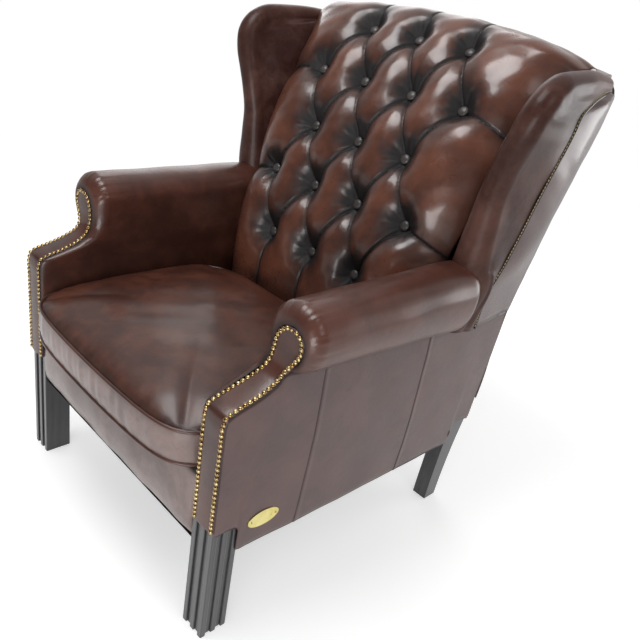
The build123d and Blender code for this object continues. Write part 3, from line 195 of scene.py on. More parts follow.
def torus_along(name, place, around, radius, sides=10):
    """Closed cord: place gives the middle of the cord and its outward way for each share."""
    bpy.ops.mesh.primitive_torus_add(major_segments=around, minor_segments=sides,
                                     major_radius=1, minor_radius=0.25, location=(0, 0, 0))
    piece = start_piece(name)
    ring = corners(piece)
    share = np.arctan2(ring[:, 1], ring[:, 0]) / tau % 1
    out = (np.hypot(ring[:, 0], ring[:, 1]) - 1) / 0.25
    middle, way = place(share)
    points = middle + way * (out * radius)[:, None]
    points[:, 2] += ring[:, 2] / 0.25 * radius
    points[:, 1] += FRONT
    shape(piece, points)
    bpy.ops.object.shade_smooth()
    return piece


def rod_along(name, rows, radius, count, sides=10):
    """Cord along an open line, closed at both ends."""
    bpy.ops.mesh.primitive_cylinder_add(vertices=sides, radius=1, depth=1, location=(0, 0, 0),
                                        end_fill_type="NGON")
    piece = start_piece(name)
    edit("DESELECT")
    end_edit()
    for edge in piece.data.edges:
        a, b = (piece.data.vertices[i].co for i in edge.vertices)
        edge.select = abs(a.z - b.z) > 0.5
    bpy.ops.object.mode_set(mode="EDIT")
    bpy.ops.mesh.select_mode(type="EDGE")
    bpy.ops.mesh.subdivide(number_cuts=count - 1)
    end_edit()
    flat = corners(piece)
    line = stations(rows)
    at = (flat[:, 2] + 0.5) * line[-1, 0]
    middle = through(line, at)
    way = unit(heading(line, at, 1e-3))
    side = unit(np.cross(way, (1.0, 0, 0)))
    other = np.cross(way, side)
    points = middle + radius * (flat[:, :1] * side + flat[:, 1:2] * other)
    points[:, 1] += FRONT
    shape(piece, points)
    face_outward(piece)
    bpy.ops.object.shade_smooth()
    return piece


def ball(name, segments, rings):
    bpy.ops.mesh.primitive_uv_sphere_add(segments=segments, ring_count=rings, radius=1,
                                         location=(0, 0, 0))
    return start_piece(name)


def scattered(name, model, places):
    """Copies of a small model in one mesh, each at its place with its own turn.
    The model itself goes."""
    base = corners(model)
    faces = [tuple(face.vertices) for face in model.data.polygons]
    points = np.concatenate([base @ np.array(turn).T + np.array(spot) for spot, turn in places])
    count = len(base)
    mesh = bpy.data.meshes.new(name)
    mesh.from_pydata(points.tolist(), [], [tuple(i + k * count for i in face)
                                           for k in range(len(places)) for face in faces])
    piece = new_object(name, mesh)
    only(piece)
    bpy.ops.object.shade_smooth()
    bpy.data.objects.remove(model)
    return piece


def left_twin(piece, name):
    twin = new_object(name, piece.data.copy())
    twin.data.name = name
    points = corners(twin)
    points[:, 0] *= -1
    shape(twin, points)
    twin.data.flip_normals()
    return twin


def settle(piece, material, body="chair", stands_for=()):
    piece.data.materials.clear()
    piece.data.materials.append(material)
    if stands_for:
        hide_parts(*stands_for)
    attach(piece, body)


def settle_pair(right, material, node=None):
    """Finish a piece of the right side and its mirror image."""
    left = left_twin(right, right.name.replace("right", "left"))
    for piece, side in ((right, "right"), (left, "left")):
        settle(piece, material, stands_for=[f"{node}_{side}"] if node else ())


# Finishes

def feed(tree, socket, value):
    """Link an output to a socket, or set the socket's value."""
    if isinstance(value, bpy.types.NodeSocket):
        tree.links.new(value, socket)
    else:
        socket.default_value = value


def lay_node(tree, kind, settings=(), **inputs):
    node = tree.nodes.new(kind)
    for name, value in dict(settings).items():
        setattr(node, name, value)
    for name, value in inputs.items():
        feed(tree, node.inputs[name.replace("_", " ")], value)
    return node


def math(tree, operation, first, second=0.5):
    node = tree.nodes.new("ShaderNodeMath")
    node.operation = operation
    for socket, value in zip(node.inputs, (first, second)):
        feed(tree, socket, value)
    return node.outputs[0]


def add_share(tree, base, value, share):
    return math(tree, "ADD", base, math(tree, "MULTIPLY", value, share))


def blend_colour(tree, factor, first, second):
    node = tree.nodes.new("ShaderNodeMix")
    node.data_type = "RGBA"
    # The node's colour sockets come after those for numbers and vectors
    for place, value in ((0, factor), (6, first), (7, second)):
        feed(tree, node.inputs[place], value)
    return node.outputs[2]


def spread(tree, value, low, high, start=0.0, end=1.0):
    return lay_node(tree, "ShaderNodeMapRange", {"interpolation_type": "SMOOTHSTEP"}, Value=value,
                    From_Min=low, From_Max=high, To_Min=start, To_Max=end).outputs[0]


def object_place(tree):
    return lay_node(tree, "ShaderNodeTexCoord").outputs["Object"]


def noise_at(tree, where, scale, detail, **settings):
    return lay_node(tree, "ShaderNodeTexNoise", Vector=where, Scale=scale, Detail=detail,
                    **settings).outputs["Fac"]


def emboss(tree, shader, height, strength, distance):
    bump = lay_node(tree, "ShaderNodeBump", Strength=strength, Distance=distance, Height=height)
    tree.links.new(bump.outputs["Normal"], shader.inputs["Normal"])


def mark(tree, name):
    return lay_node(tree, "ShaderNodeAttribute", {"attribute_name": name}).outputs["Fac"]


def new_group(name, inputs, outputs):
    tree = bpy.data.node_groups.new(name, "ShaderNodeTree")
    for label, kind, value in inputs:
        socket = tree.interface.new_socket(name=label, in_out="INPUT", socket_type=kind)
        socket.default_value = value
    for label, kind in outputs:
        tree.interface.new_socket(name=label, in_out="OUTPUT", socket_type=kind)
    given = tree.nodes.new("NodeGroupInput")
    made = tree.nodes.new("NodeGroupOutput")
    return tree, given.outputs, made.inputs


COLOUR, NUMBER = "NodeSocketColor", "NodeSocketFloat"


def hide_group():
    """Hand-rubbed hide with a fine grain: lighter where it is worn and where sheen and highlight
    are painted in, near black with painted shade in the folds, seams and gaps (in the button pits
    partly dark dye).
    """
    tree, given, made = new_group(
        "rubbed_hide",
        [("Body", COLOUR, (0.1, 0.03, 0.02, 1)), ("Worn", COLOUR, (0.3, 0.1, 0.05, 1)),
         ("Shade_and_dye", COLOUR, (0.01, 0.006, 0.006, 1)), ("Wear", NUMBER, 0.5),
         ("Mottle", NUMBER, 9.0), ("Gloss", NUMBER, 0.25), ("Polish", NUMBER, 0.3)],
        [("Color", COLOUR), ("Roughness", NUMBER), ("Coat", NUMBER), ("Height", NUMBER)])
    where = object_place(tree)
    clouds = noise_at(tree, where, given["Mottle"], 5.0, Roughness=0.62, Distortion=0.35)
    small = noise_at(tree, where, 46.0, 4.0, Roughness=0.6, Distortion=0.6)
    worn = math(tree, "ADD", spread(tree, clouds, 0.38, 0.66), mark(tree, "worn"))
    worn = math(tree, "MULTIPLY", worn, given["Wear"])
    worn = add_share(tree, worn, spread(tree, small, 0.4, 0.75), 0.16)
    # The fold mark paints shade near black; the worn mark paints wear together with painted
    # highlight and sheen.
    fold = mark(tree, "fold")
    colour = blend_colour(tree, math(tree, "MINIMUM", worn, 1.0), given["Body"], given["Worn"])
    flecks = spread(tree, small, 0.56, 0.78, 0.0, 0.35)
    colour = blend_colour(tree, flecks, colour, given["Shade_and_dye"])
    colour = blend_colour(tree, fold, colour, given["Shade_and_dye"])
    tree.links.new(colour, made["Color"])
    rough = add_share(tree, given["Gloss"], small, 0.12)
    tree.links.new(add_share(tree, rough, fold, 0.28), made["Roughness"])
    bright = math(tree, "SUBTRACT", 1.0, fold)
    tree.links.new(math(tree, "MULTIPLY", bright, given["Polish"]), made["Coat"])
    pebbles = lay_node(tree, "ShaderNodeTexVoronoi", {"feature": "DISTANCE_TO_EDGE"},
                       Vector=where, Scale=620.0).outputs["Distance"]
    pores = noise_at(tree, where, 900.0, 2.0)
    creases = noise_at(tree, where, 26.0, 6.0, Roughness=0.66, Distortion=0.9)
    height = math(tree, "MULTIPLY", spread(tree, pebbles, 0.0, 0.25), 0.10)
    height = add_share(tree, height, pores, 0.05)
    height = add_share(tree, height, creases, 1.1)
    tree.links.new(height, made["Height"])
    return tree


HIDE = hide_group()


def new_material(name, **constants):
    material = bpy.data.materials.new(name)
    material.use_nodes = True
    shader = material.node_tree.nodes["Principled BSDF"]
    for label, value in constants.items():
        shader.inputs[label.replace("_", " ")].default_value = value
    return material, material.node_tree, shader


# The fold colour is that of painted shade; the colour for worn places also serves for painted
# sheen and highlight.
def leather(name, body, worn, fold=(0.006, 0.004, 0.004, 1), wear=0.5, mottle=9.0, gloss=0.24,
            relief=0.35, coat=0.35, **constants):
    material, tree, shader = new_material(name, Coat_Roughness=0.14, **constants)
    hide = tree.nodes.new("ShaderNodeGroup")
    hide.node_tree = HIDE
    for label, value in (("Body", body), ("Worn", worn), ("Shade_and_dye", fold), ("Wear", wear),
                         ("Mottle", mottle), ("Gloss", gloss), ("Polish", coat)):
        hide.inputs[label].default_value = value
    for given, wanted in (("Color", "Base Color"), ("Roughness", "Roughness"),
                          ("Coat", "Coat Weight")):
        tree.links.new(hide.outputs[given], shader.inputs[wanted])
    emboss(tree, shader, hide.outputs["Height"], relief, 0.0012)
    return material


def plain_noise(name, low, high, scale, rough=(0.4, 0.6), stretch=(1, 1, 1), relief=0.2,
                distance=0.0004, **constants):
    """Finish whose colour, roughness and relief vary with one noise, such as wood or steel."""
    material, tree, shader = new_material(name, **constants)
    where = object_place(tree)
    turned = lay_node(tree, "ShaderNodeMapping", Vector=where, Scale=stretch).outputs[0]
    noise = noise_at(tree, turned, scale, 6.0, Roughness=0.6, Distortion=0.4)
    tree.links.new(blend_colour(tree, spread(tree, noise, 0.3, 0.7), low, high),
                   shader.inputs["Base Color"])
    tree.links.new(spread(tree, noise, 0.2, 0.8, *rough), shader.inputs["Roughness"])
    emboss(tree, shader, noise, relief, distance)
    return material


def woven(name, low, high, threads):
    """Plain weave with its threads in both directions."""
    material, tree, shader = new_material(name, Roughness=0.85)
    where = object_place(tree)
    weft, warp = (lay_node(tree, "ShaderNodeTexWave", {"bands_direction": way}, Vector=where,
                           Scale=threads, Distortion=0.4).outputs["Fac"] for way in "XZ")
    cloth = math(tree, "MULTIPLY", weft, warp)
    tree.links.new(blend_colour(tree, cloth, low, high), shader.inputs["Base Color"])
    emboss(tree, shader, cloth, 0.5, 0.0006)
    return material


# The lighter brown is both rubbed wear and the painted highlight on the back's puffs.
BODY_BROWN = (0.036, 0.015, 0.012, 1)
SHEEN_AND_WEAR_BROWN = (0.135, 0.047, 0.027, 1)
back_leather = leather("back_leather", BODY_BROWN, SHEEN_AND_WEAR_BROWN, wear=0.6, gloss=0.22, coat=0.6)
cushion_leather = leather("cushion_leather", (0.034, 0.011, 0.008, 1), (0.110, 0.037, 0.021, 1),
                          wear=0.6, mottle=13.0, gloss=0.30, coat=0.14)
arm_leather = leather("arm_leather", (0.042, 0.015, 0.011, 1), (0.110, 0.039, 0.025, 1),
                      wear=0.55, gloss=0.26, coat=0.2)
# The wing's light worn colour also paints the sheen on the wing's top.
wing_leather = leather("wing_leather", (0.030, 0.010, 0.008, 1), (0.14, 0.066, 0.050, 1),
                       wear=0.42, gloss=0.29, coat=0.08, Specular_IOR_Level=0.16)
panel_leather = leather("panel_leather", (0.062, 0.028, 0.025, 1), (0.115, 0.050, 0.043, 1),
                        wear=0.5, gloss=0.26, coat=0.3)
# This leather's pale greyish tone on the cushion's sides and the front border is in part painted
# sheen.
border_leather = leather("border_leather", (0.125, 0.086, 0.078, 1), (0.29, 0.205, 0.185, 1),
                         wear=0.55, gloss=0.26, coat=0.35)
dark_leather = leather("dark_leather", (0.012, 0.006, 0.005, 1), (0.03, 0.011, 0.008, 1),
                       wear=0.4, gloss=0.22)
button_leather = leather("button_leather", (0.035, 0.030, 0.029, 1), (0.075, 0.066, 0.064, 1),
                         wear=0.5, gloss=0.34, coat=0.2)
leg_wood = plain_noise("black_stain", (0.014, 0.013, 0.015, 1), (0.034, 0.032, 0.035, 1), 9.0,
                       (0.26, 0.38), (14, 14, 1), 0.25, Coat_Weight=0.8, Coat_Roughness=0.28)
frame_wood = plain_noise("beech", (0.42, 0.26, 0.14, 1), (0.62, 0.43, 0.26, 1), 14.0,
                         (0.5, 0.7), (1, 8, 8), 0.3)
nail_brass = plain_noise("aged_brass", (0.26, 0.15, 0.05, 1), (0.80, 0.62, 0.31, 1), 130.0,
                         (0.2, 0.38), relief=0.2, Metallic=1.0)
plate_brass = plain_noise("plate_brass", (0.80, 0.68, 0.22, 1), (0.92, 0.82, 0.36, 1), 30.0,
                          (0.26, 0.34), relief=0.04, Metallic=0.7)
steel = plain_noise("screw_steel", (0.35, 0.35, 0.36, 1), (0.6, 0.6, 0.6, 1), 90.0, (0.3, 0.5),
                    Metallic=1.0)
jute = woven("jute_webbing", (0.2, 0.13, 0.07, 1), (0.45, 0.33, 0.2, 1), 160.0)
calico = woven("platform_calico", (0.028, 0.024, 0.022, 1), (0.06, 0.05, 0.046, 1), 320.0)
dust_cloth = woven("dust_cloth", (0.01, 0.01, 0.01, 1), (0.03, 0.03, 0.03, 1), 260.0)
thread = plain_noise("waxed_thread", (0.34, 0.27, 0.13, 1), (0.62, 0.52, 0.30, 1), 400.0,
                     (0.5, 0.7))


# Deep-buttoned back

BACK_LINE = numbered(((0.463, 0.345), (0.485, 0.549), (0.529, 0.677), (0.570, 0.791),
                      (0.632, 0.902), (0.705, 1.002), (0.775, 1.046), (0.900, 1.010)))
BACK_WIDTH = ((0, 0.279), (1.2, 0.282), (1.7, 0.291), (2.2, 0.302), (3.1, 0.321), (4, 0.335),
              (5, 0.349), (5.5, 0.356), (6, 0.362), (6.4, 0.364), (7, 0.347))
# Row, height of the stuffing, dip along the pleats, pull of the buttons, fall to the wing,
# start of the fall
BACK_FULLNESS = ((0, 0.014, 0.002, 0, 0.060, 0.18), (0.6, 0.032, 0.008, 0.024, 0.078, 0.185),
                 (1, 0.037, 0.012, 0.027, 0.082, 0.185), (3, 0.038, 0.012, 0.028, 0.094, 0.19),
                 (4.6, 0.038, 0.012, 0.028, 0.092, 0.20), (5, 0.037, 0.010, 0.028, 0.076, 0.20),
                 (5.5, 0.032, 0.004, 0.026, 0.046, 0.225), (6, 0.023, 0.002, 0.020, 0.014, 0.25),
                 (6.5, 0.016, 0.001, 0.010, 0.016, 0.26), (7, 0.004, 0.0, 0, 0.004, 0.28))
ROW_STEPS = np.linspace(0, 7, 701)
ROW_WAY = stations(through(BACK_LINE, ROW_STEPS))[:, 0]


def back_frame(row):
    """Point of the button line and the outward normal there, in depth and height."""
    point = through(BACK_LINE, row)
    way = unit(heading(BACK_LINE, row, 0.02))
    normal = np.stack([-way[..., 1], way[..., 0]], -1)
    return point, normal


def back_way(row):
    return np.interp(row, ROW_STEPS, ROW_WAY)


def button_spots():
    """Across and row of the seventeen buttons."""
    spots = []
    for row in range(1, 6):
        columns = (-1, 0, 1) if row % 2 else (-1.5, -0.5, 0.5, 1.5)
        spots += [(column * BUTTON_PITCH, row) for column in columns]
    return spots


def pleats():
    """Ends of every fold: between buttons, down to the seat, over the top and to the wings."""
    spots, folds = button_spots(), []
    for x, row in spots:
        folds += [((x, row), (a, r)) for a, r in spots
                  if r == row + 1 and abs(abs(a - x) - BUTTON_PITCH / 2) < 0.001]
    for x in (-BUTTON_PITCH, 0, BUTTON_PITCH):
        folds += [((x, 0), (x, 1)), ((x, 5), (x, 7))]
    for side in (-1, 1):
        outer = side * 1.5 * BUTTON_PITCH
        folds += [((outer, 2), (side * 0.30, 1.8)), ((outer, 4), (side * 0.335, 3.8))]
    return [((ax, back_way(ar)), (bx, back_way(br))) for (ax, ar), (bx, br) in folds]


def to_lines(x, q, lines):
    """Distance to the nearest line, softened where two are as near, and the side of it:
    1 above a slanting line, 0 below, a half beside an upright one."""
    total, near = np.zeros_like(x), np.full_like(x, 9.0)
    above = np.full_like(x, 0.5)
    for (ax, aq), (bx, bq) in lines:
        dx, dq = bx - ax, bq - aq
        s = np.clip(((x - ax) * dx + (q - aq) * dq) / (dx * dx + dq * dq), 0, 1)
        gap = np.hypot(x - ax - s * dx, q - aq - s * dq)
        side = 0.5 if abs(dx) < 1e-6 else (q > aq + (x - ax) * dq / dx).astype(float)
        above = np.where(gap < near, side, above)
        near = np.minimum(near, gap)
        total += (gap + 1e-5) ** -7
    return total ** (-1 / 7), near, above


def back_surface(across, up):
    row = up * 7
    width = through(BACK_WIDTH, row)[:, 0]
    x = (2 * across - 1) * width
    q = back_way(row)
    ridge, dip, pull, fall, start = through(BACK_FULLNESS, row).T
    fold, crease, above = to_lines(x, q, pleats())
    lobe = 1 - (1 - np.minimum(fold / 0.056, 1)) ** 2
    nearest = np.full_like(x, 9.0)
    turn, pit_shade_gap = np.zeros_like(x), np.full_like(x, 9.0)
    for bx, br in button_spots():
        dx, dq = x - bx, q - back_way(br)
        gap = np.hypot(dx, dq * 0.92)
        turn = np.where(gap < nearest, np.arctan2(dq, dx) + 3 * bx + br, turn)
        nearest = np.minimum(nearest, gap)
        # The painted shade round each button reaches farther above it, where the slope faces
        # down.
        pit_shade_gap = np.minimum(pit_shade_gap, np.hypot(dx * 1.05, dq * np.where(dq > 0, 0.78, 1.2)))
    fallen = ramp(np.abs(x), start, width + 0.012)
    height = (ridge - dip * (1 - lobe) - pull * np.exp(-(nearest / 0.031) ** 1.9)
              - fall * fallen**2.5
              - 0.023 * (x / 0.3) ** 2 * smooth(row, 5.2, 5.9) * (1 - smooth(row, 6.4, 7)))
    sewn = smooth(nearest, 0.004, 0.02)
    lap = above * np.exp(-crease / 0.012) * 0.0030 - (1 - above) * np.exp(-crease / 0.006) * 0.001
    height += lap * sewn * (1 - 0.5 * smooth(row, 5, 5.6)) * (1 - smooth(row, 6.2, 6.9))
    height -= 0.0024 * np.exp(-((crease + 0.0012 * (2 * above - 1)) / 0.0024) ** 2) * sewn * (
        1 - smooth(row, 6.3, 6.9))
    near = bell(nearest - 0.024, 0.012)
    height += near * (0.0007 * np.sin(7 * turn) + 0.0005 * np.sin(13 * turn + 1.7))
    point, normal = back_frame(row)
    points = np.column_stack([x, point + normal * height[:, None]])
    points[:, 1:] += normal * (0.0014 * ripple(points, 0.05, 2) * lobe)[:, None]
    # Painted shade: thin dark lines along the creases, near black in the button pits (partly dark
    # dye) with streaks round them, and darker where the pad falls away to the wing.
    streaks = 0.6 + 0.25 * np.sin(7 * turn) + 0.15 * np.sin(13 * turn + 2)
    pad_shade_and_dye = (0.85 * bell(crease, 0.0024) + 0.3 * bell(crease, 0.009)
              + 1.2 * np.exp(-(pit_shade_gap / 0.030) ** 4)
              + 0.95 * streaks * bell(pit_shade_gap, 0.051))
    pad_shade_and_dye = np.where(row > 6.6, 0.3 * pad_shade_and_dye, pad_shade_and_dye)
    # Lighter on the crowns of the puffs away from the buttons, as rubbed wear and painted
    # highlight.
    return points, {"fold": pad_shade_and_dye + 0.8 * fallen**5 * (row < 5.4),
                    "worn": 0.8 * lobe**1.5 * smooth(nearest, 0.03, 0.06)}


def close_rim(piece, shift):
    """Turn a laid sheet's edges back and close the piece behind."""
    only(piece)
    bpy.ops.object.mode_set(mode="EDIT")
    bpy.ops.mesh.select_mode(type="EDGE")
    bpy.ops.mesh.select_all(action="DESELECT")
    bpy.ops.mesh.select_non_manifold()
    bpy.ops.mesh.extrude_region_move(TRANSFORM_OT_translate={"value": shift})
    bpy.ops.mesh.edge_face_add()
    end_edit()
    bpy.ops.object.shade_smooth()
    return piece


pad = close_rim(skin("buttoned_back", 288, 340, back_surface), (0, 0.002, -0.008))
settle(pad, back_leather, stands_for=["back_pad"])


def button_model():
    """Covered button: a low dome with a turned-in edge."""
    piece = ball("button_model", 28, 16)
    points = corners(piece)
    low = points[:, 2] < 0
    points[:, 2] *= np.where(low, 0.0035, 0.0052)
    points[:, :2] *= 0.0108
    return shape(piece, points)


def turned_to(normal, up=(0, 0, 1)):
    """Turn that takes Z to the normal."""
    normal = Vector(normal).normalized()
    side = Vector(up).cross(normal)
    side = side.normalized() if side.length > 1e-4 else Vector((1, 0, 0))
    return Matrix((side, normal.cross(side), normal)).transposed()


button = button_model()
places = []
for x, row in button_spots():
    point, normal = back_frame(np.array([float(row)]))
    spot = point[0] + normal[0] * 0.0046
    places.append(((x, spot[0] + FRONT, spot[1]), turned_to((0, *normal[0]))))
buttons = scattered("covered_buttons", button, places)
settle(buttons, button_leather, stands_for=["back_buttons"])


# Wings. Leading edge, join with the back, welt and rear corner, level by level:
# across, depth, height; the edge also has the radius of its roll.

WING_EDGE = numbered((
    (0.330, 0.548, 0.500, 0.030), (0.338, 0.543, 0.600, 0.045), (0.342, 0.535, 0.648, 0.039),
    (0.346, 0.5365, 0.719, 0.033), (0.350, 0.537, 0.775, 0.029), (0.360, 0.532, 0.828, 0.028),
    (0.371, 0.528, 0.866, 0.028), (0.383, 0.525, 0.903, 0.028), (0.391, 0.527, 0.941, 0.028),
    (0.395, 0.536, 0.966, 0.028), (0.396, 0.551, 0.986, 0.028), (0.395, 0.569, 1.000, 0.027),
    (0.394, 0.597, 1.012, 0.026), (0.391, 0.631, 1.017, 0.025), (0.385, 0.700, 1.021, 0.024),
    (0.377, 0.750, 1.021, 0.022), (0.371, 0.795, 1.017, 0.020), (0.363, 0.848, 1.010, 0.017),
    (0.352, 0.887, 1.004, 0.010)))
WING_JOIN = numbered((
    (0.284, 0.600, 0.500), (0.284, 0.600, 0.600), (0.284, 0.602, 0.645), (0.292, 0.628, 0.715),
    (0.298, 0.650, 0.772), (0.305, 0.672, 0.825), (0.311, 0.688, 0.868), (0.316, 0.702, 0.905),
    (0.321, 0.716, 0.932), (0.324, 0.724, 0.950), (0.327, 0.731, 0.965), (0.329, 0.736, 0.976),
    (0.331, 0.741, 0.986), (0.334, 0.746, 0.993), (0.342, 0.762, 1.002), (0.349, 0.784, 1.004),
    (0.347, 0.810, 1.003), (0.343, 0.850, 1.004), (0.340, 0.898, 1.003)))
WING_WELT = numbered((
    (0.358, 0.628, 0.497), (0.370, 0.6145, 0.585), (0.376, 0.637, 0.645), (0.381, 0.659, 0.720),
    (0.385, 0.672, 0.775), (0.390, 0.685, 0.829), (0.393, 0.696, 0.866), (0.3955, 0.706, 0.900),
    (0.396, 0.711, 0.920), (0.395, 0.7175, 0.936), (0.3935, 0.727, 0.947),
    (0.392, 0.741, 0.955), (0.390, 0.757, 0.962), (0.3875, 0.773, 0.968),
    (0.385, 0.790, 0.9725), (0.382, 0.808, 0.976), (0.379, 0.826, 0.980), (0.375, 0.856, 0.983),
    (0.367, 0.887, 0.978)))
WING_CORNER = numbered((
    (0.346, 0.779, 0.500), (0.350, 0.798, 0.590), (0.352, 0.811, 0.645), (0.357, 0.830, 0.725),
    (0.361, 0.8435, 0.780), (0.365, 0.857, 0.835), (0.368, 0.8655, 0.870), (0.370, 0.873, 0.900),
    (0.371, 0.8785, 0.922), (0.3715, 0.882, 0.936), (0.372, 0.884, 0.945), (0.372, 0.8855, 0.951),
    (0.372, 0.8865, 0.956), (0.372, 0.8875, 0.960), (0.372, 0.8885, 0.964),
    (0.372, 0.889, 0.967), (0.372, 0.890, 0.969), (0.370, 0.889, 0.972), (0.366, 0.887, 0.975)))
LEVELS = len(WING_EDGE) - 1
# Shares of the way round the wing where its inner side and its rolled edge end
INSIDE_END, ROLL_END = 0.36, 0.62


def roll_frame(level):
    """Middle of the rolled edge, its outward way and its radius."""
    edge = through(WING_EDGE, level)
    way = unit(heading(WING_EDGE, level, 0.05)[:, 1:3])
    out = np.column_stack([np.zeros(len(way)), -way[:, 1], way[:, 0]])
    radius = edge[:, 3:]
    return edge[:, :3] - out * radius, out, radius


def wing_surface(around, up):
    level = up * LEVELS
    middle, out, radius = roll_frame(level)
    join, welt = through(WING_JOIN, level), through(WING_WELT, level)
    side = np.array([1.0, 0, 0])
    inner, outer = middle - side * radius, middle + side * radius
    inside = np.clip(around / INSIDE_END, 0, 1)
    reach = np.linalg.norm(inner - join, axis=1)[:, None]
    points = hermite(join, inner, inner - join, out * reach * 0.6, inside)
    points -= side * (0.006 * np.sin(pi * inside) ** 2)[:, None]
    angle = (pi * ramp(around, INSIDE_END, ROLL_END))[:, None]
    rolled = middle + radius * (-np.cos(angle) * side + np.sin(angle) * out)
    outside = ramp(around, ROLL_END, 1)
    reach = np.linalg.norm(welt - outer, axis=1)[:, None]
    flank = hermite(outer, welt, -out * reach * 0.6, welt - outer, outside)
    full = mix(0.006, 0.0, smooth(level, 0.5, 3.5))
    flank += side * (full * np.sin(pi * outside) ** 2)[:, None]
    points = np.where((around < INSIDE_END)[:, None], points,
                      np.where((around < ROLL_END)[:, None], rolled, flank))
    swell = 0.0012 * ripple(points, 0.07, 5)
    normal = np.where((around < 0.5)[:, None], -side, side)
    points += normal * swell[:, None]
    # Painted shade where the wing meets the back and beside the welt; lighter along the rolled
    # edge from wear, and towards the top from wear with painted sheen.
    edge = np.sin(pi * ramp(around, 0.25, 0.75))
    return points, {"fold": 0.9 * bell(around, 0.03)
                    + 0.5 * bell(1 - around, 0.02),
                    "worn": 0.3 * edge + 0.7 * smooth(level, 11, 16) * smooth(around, 0.3, 0.5)}


def band_surface(across, up):
    """Outside cover between the welt and the rear corner."""
    level = up * LEVELS
    welt, corner = through(WING_WELT, level), through(WING_CORNER, level)
    points = mix(welt, corner, across[:, None])
    swell = 0.012 * np.sin(pi * across) * smooth(up, 0, 0.15) * (1 - 0.6 * smooth(up, 0.6, 1))
    points[:, 0] += swell + 0.001 * ripple(points, 0.06, 1)
    # Painted shade beside the welt.
    return points, {"fold": 0.5 * bell(across, 0.03)}


wing = thicken(skin("wing_right", 120, 150, wing_surface))
settle_pair(wing, wing_leather, "wing_pad")
band = thicken(skin("outside_wing_cover_right", 30, 110, band_surface))
settle_pair(band, panel_leather, "outside_wing")
welt_line = through(WING_WELT, np.linspace(0, LEVELS - 2, 90))
welt_line[:, 0] += 0.0012
welt = rod_along("wing_welt_cord_right", welt_line[::3], 0.0024, 120)
settle_pair(welt, dark_leather, "wing_welt")


def stitch_model():
    """Short stitch of waxed thread, lying along Y and sunk at its ends."""
    piece = ball("stitch_model", 8, 6)
    return shape(piece, corners(piece) * (0.0010, 0.0025, 0.0009))


def stitch_places():
    """Stitches beside the welt, on the wing's side of it."""
    line = stations(through(WING_WELT, np.linspace(0, LEVELS - 1, 300)))
    places = []
    for at in np.arange(0.01, line[-1, 0] - 0.004, 0.0068):
        spot, ahead = through(line, at), through(line, at + 0.002)
        way = Vector(ahead - spot).normalized()
        out = Vector((1, 0, 0))
        side = way.cross(out).normalized()
        spot = Vector(spot) + side * (0.0044 if side.y < 0 else -0.0044) + out * 0.0022
        places.append(((spot.x, spot.y + FRONT, spot.z),
                       Matrix((side, way, side.cross(way))).transposed()))
    return places


stitches = scattered("welt_stitches_right", stitch_model(), stitch_places())
settle_pair(stitches, thread)


# Arms

# Depth and height of the facing's line, then its inner and outer edge
FACING = stations([
    (-0.004, 0.258, 0.289, 0.346), (-0.0045, 0.360, 0.289, 0.346), (-0.005, 0.440, 0.289, 0.346),
    (-0.0045, 0.474, 0.289, 0.346), (-0.001, 0.4865, 0.289, 0.346), (0.010, 0.4925, 0.289, 0.346),
    (0.035, 0.500, 0.289, 0.346), (0.075, 0.514, 0.291, 0.346), (0.096, 0.526, 0.294, 0.3455),
    (0.107, 0.540, 0.297, 0.3475), (0.1105, 0.552, 0.2985, 0.355),
    (0.112, 0.564, 0.299, 0.363), (0.112, 0.577, 0.300, 0.368), (0.112, 0.590, 0.3035, 0.3685),
    (0.112, 0.600, 0.309, 0.3655), (0.112, 0.6085, 0.317, 0.359), (0.112, 0.6135, 0.326, 0.350),
    (0.112, 0.615, 0.336, 0.339)])
FACING_LENGTH = FACING[-1, 0]
SCROLL_MIDDLE = np.array([0.334, 0.578])


def sweep_depth(height):
    """Depth of the facing's face at a height."""
    steps = FACING[:14]
    return np.interp(height, steps[:, 2], steps[:, 1])


def facing_surface(across, up):
    line = through(FACING, up * FACING_LENGTH)
    way = unit(heading(FACING, up * FACING_LENGTH, 0.002)[:, :2])
    x = mix(line[:, 2], line[:, 3], across)
    edge = np.abs(2 * across - 1)
    lift = 0.0028 * (1 - edge**2) - 0.003 * edge**12
    points = np.column_stack([x, line[:, 0] - way[:, 1] * lift, line[:, 1] + way[:, 0] * lift])
    # Painted shade darkens the facing's edges.
    return points, {"fold": 0.6 * edge**10}


facing = thicken(skin("arm_facing_cover_right", 24, 150, facing_surface))
settle_pair(facing, arm_leather, "arm_facing")


def seam_height(depth):
    """Seam under the arm's roll."""
    return np.interp(depth, (ARM_FACE, ARM_END), (0.536, 0.500))


def arm_section(turn, depth):
    """Full section of the arm: up the inner wall, over the roll and down to its seam."""
    end = smooth(depth, 0.54, 0.62)
    flank = mix(0.392, 0.350, end)
    under = seam_height(depth)
    top, crown = 0.650 - 0.010 * end, 0.335
    wall, first, second, third = (ramp(turn, *span) for span in
                                  ((0, 0.46), (0.46, 0.64), (0.64, 0.82), (0.82, 1)))
    z = mix(0.340, 0.600, wall)
    x = 0.281 - 0.006 * smooth(z, 0.47, 0.52)
    quarter = pi / 2 * first
    x = np.where(turn > 0.46, crown - (crown - 0.275) * np.cos(quarter), x)
    z = np.where(turn > 0.46, 0.600 + (top - 0.600) * np.sin(quarter), z)
    quarter = pi / 2 * second
    x = np.where(turn > 0.64, crown + (flank - crown) * np.sin(quarter), x)
    z = np.where(turn > 0.64, 0.594 + (top - 0.594) * np.cos(quarter), z)
    quarter = pi / 2 * third
    x = np.where(turn > 0.82, 0.345 + (flank - 0.345) * np.cos(quarter), x)
    z = np.where(turn > 0.82, 0.594 - (0.594 - under) * np.sin(quarter), z)
    return x, z


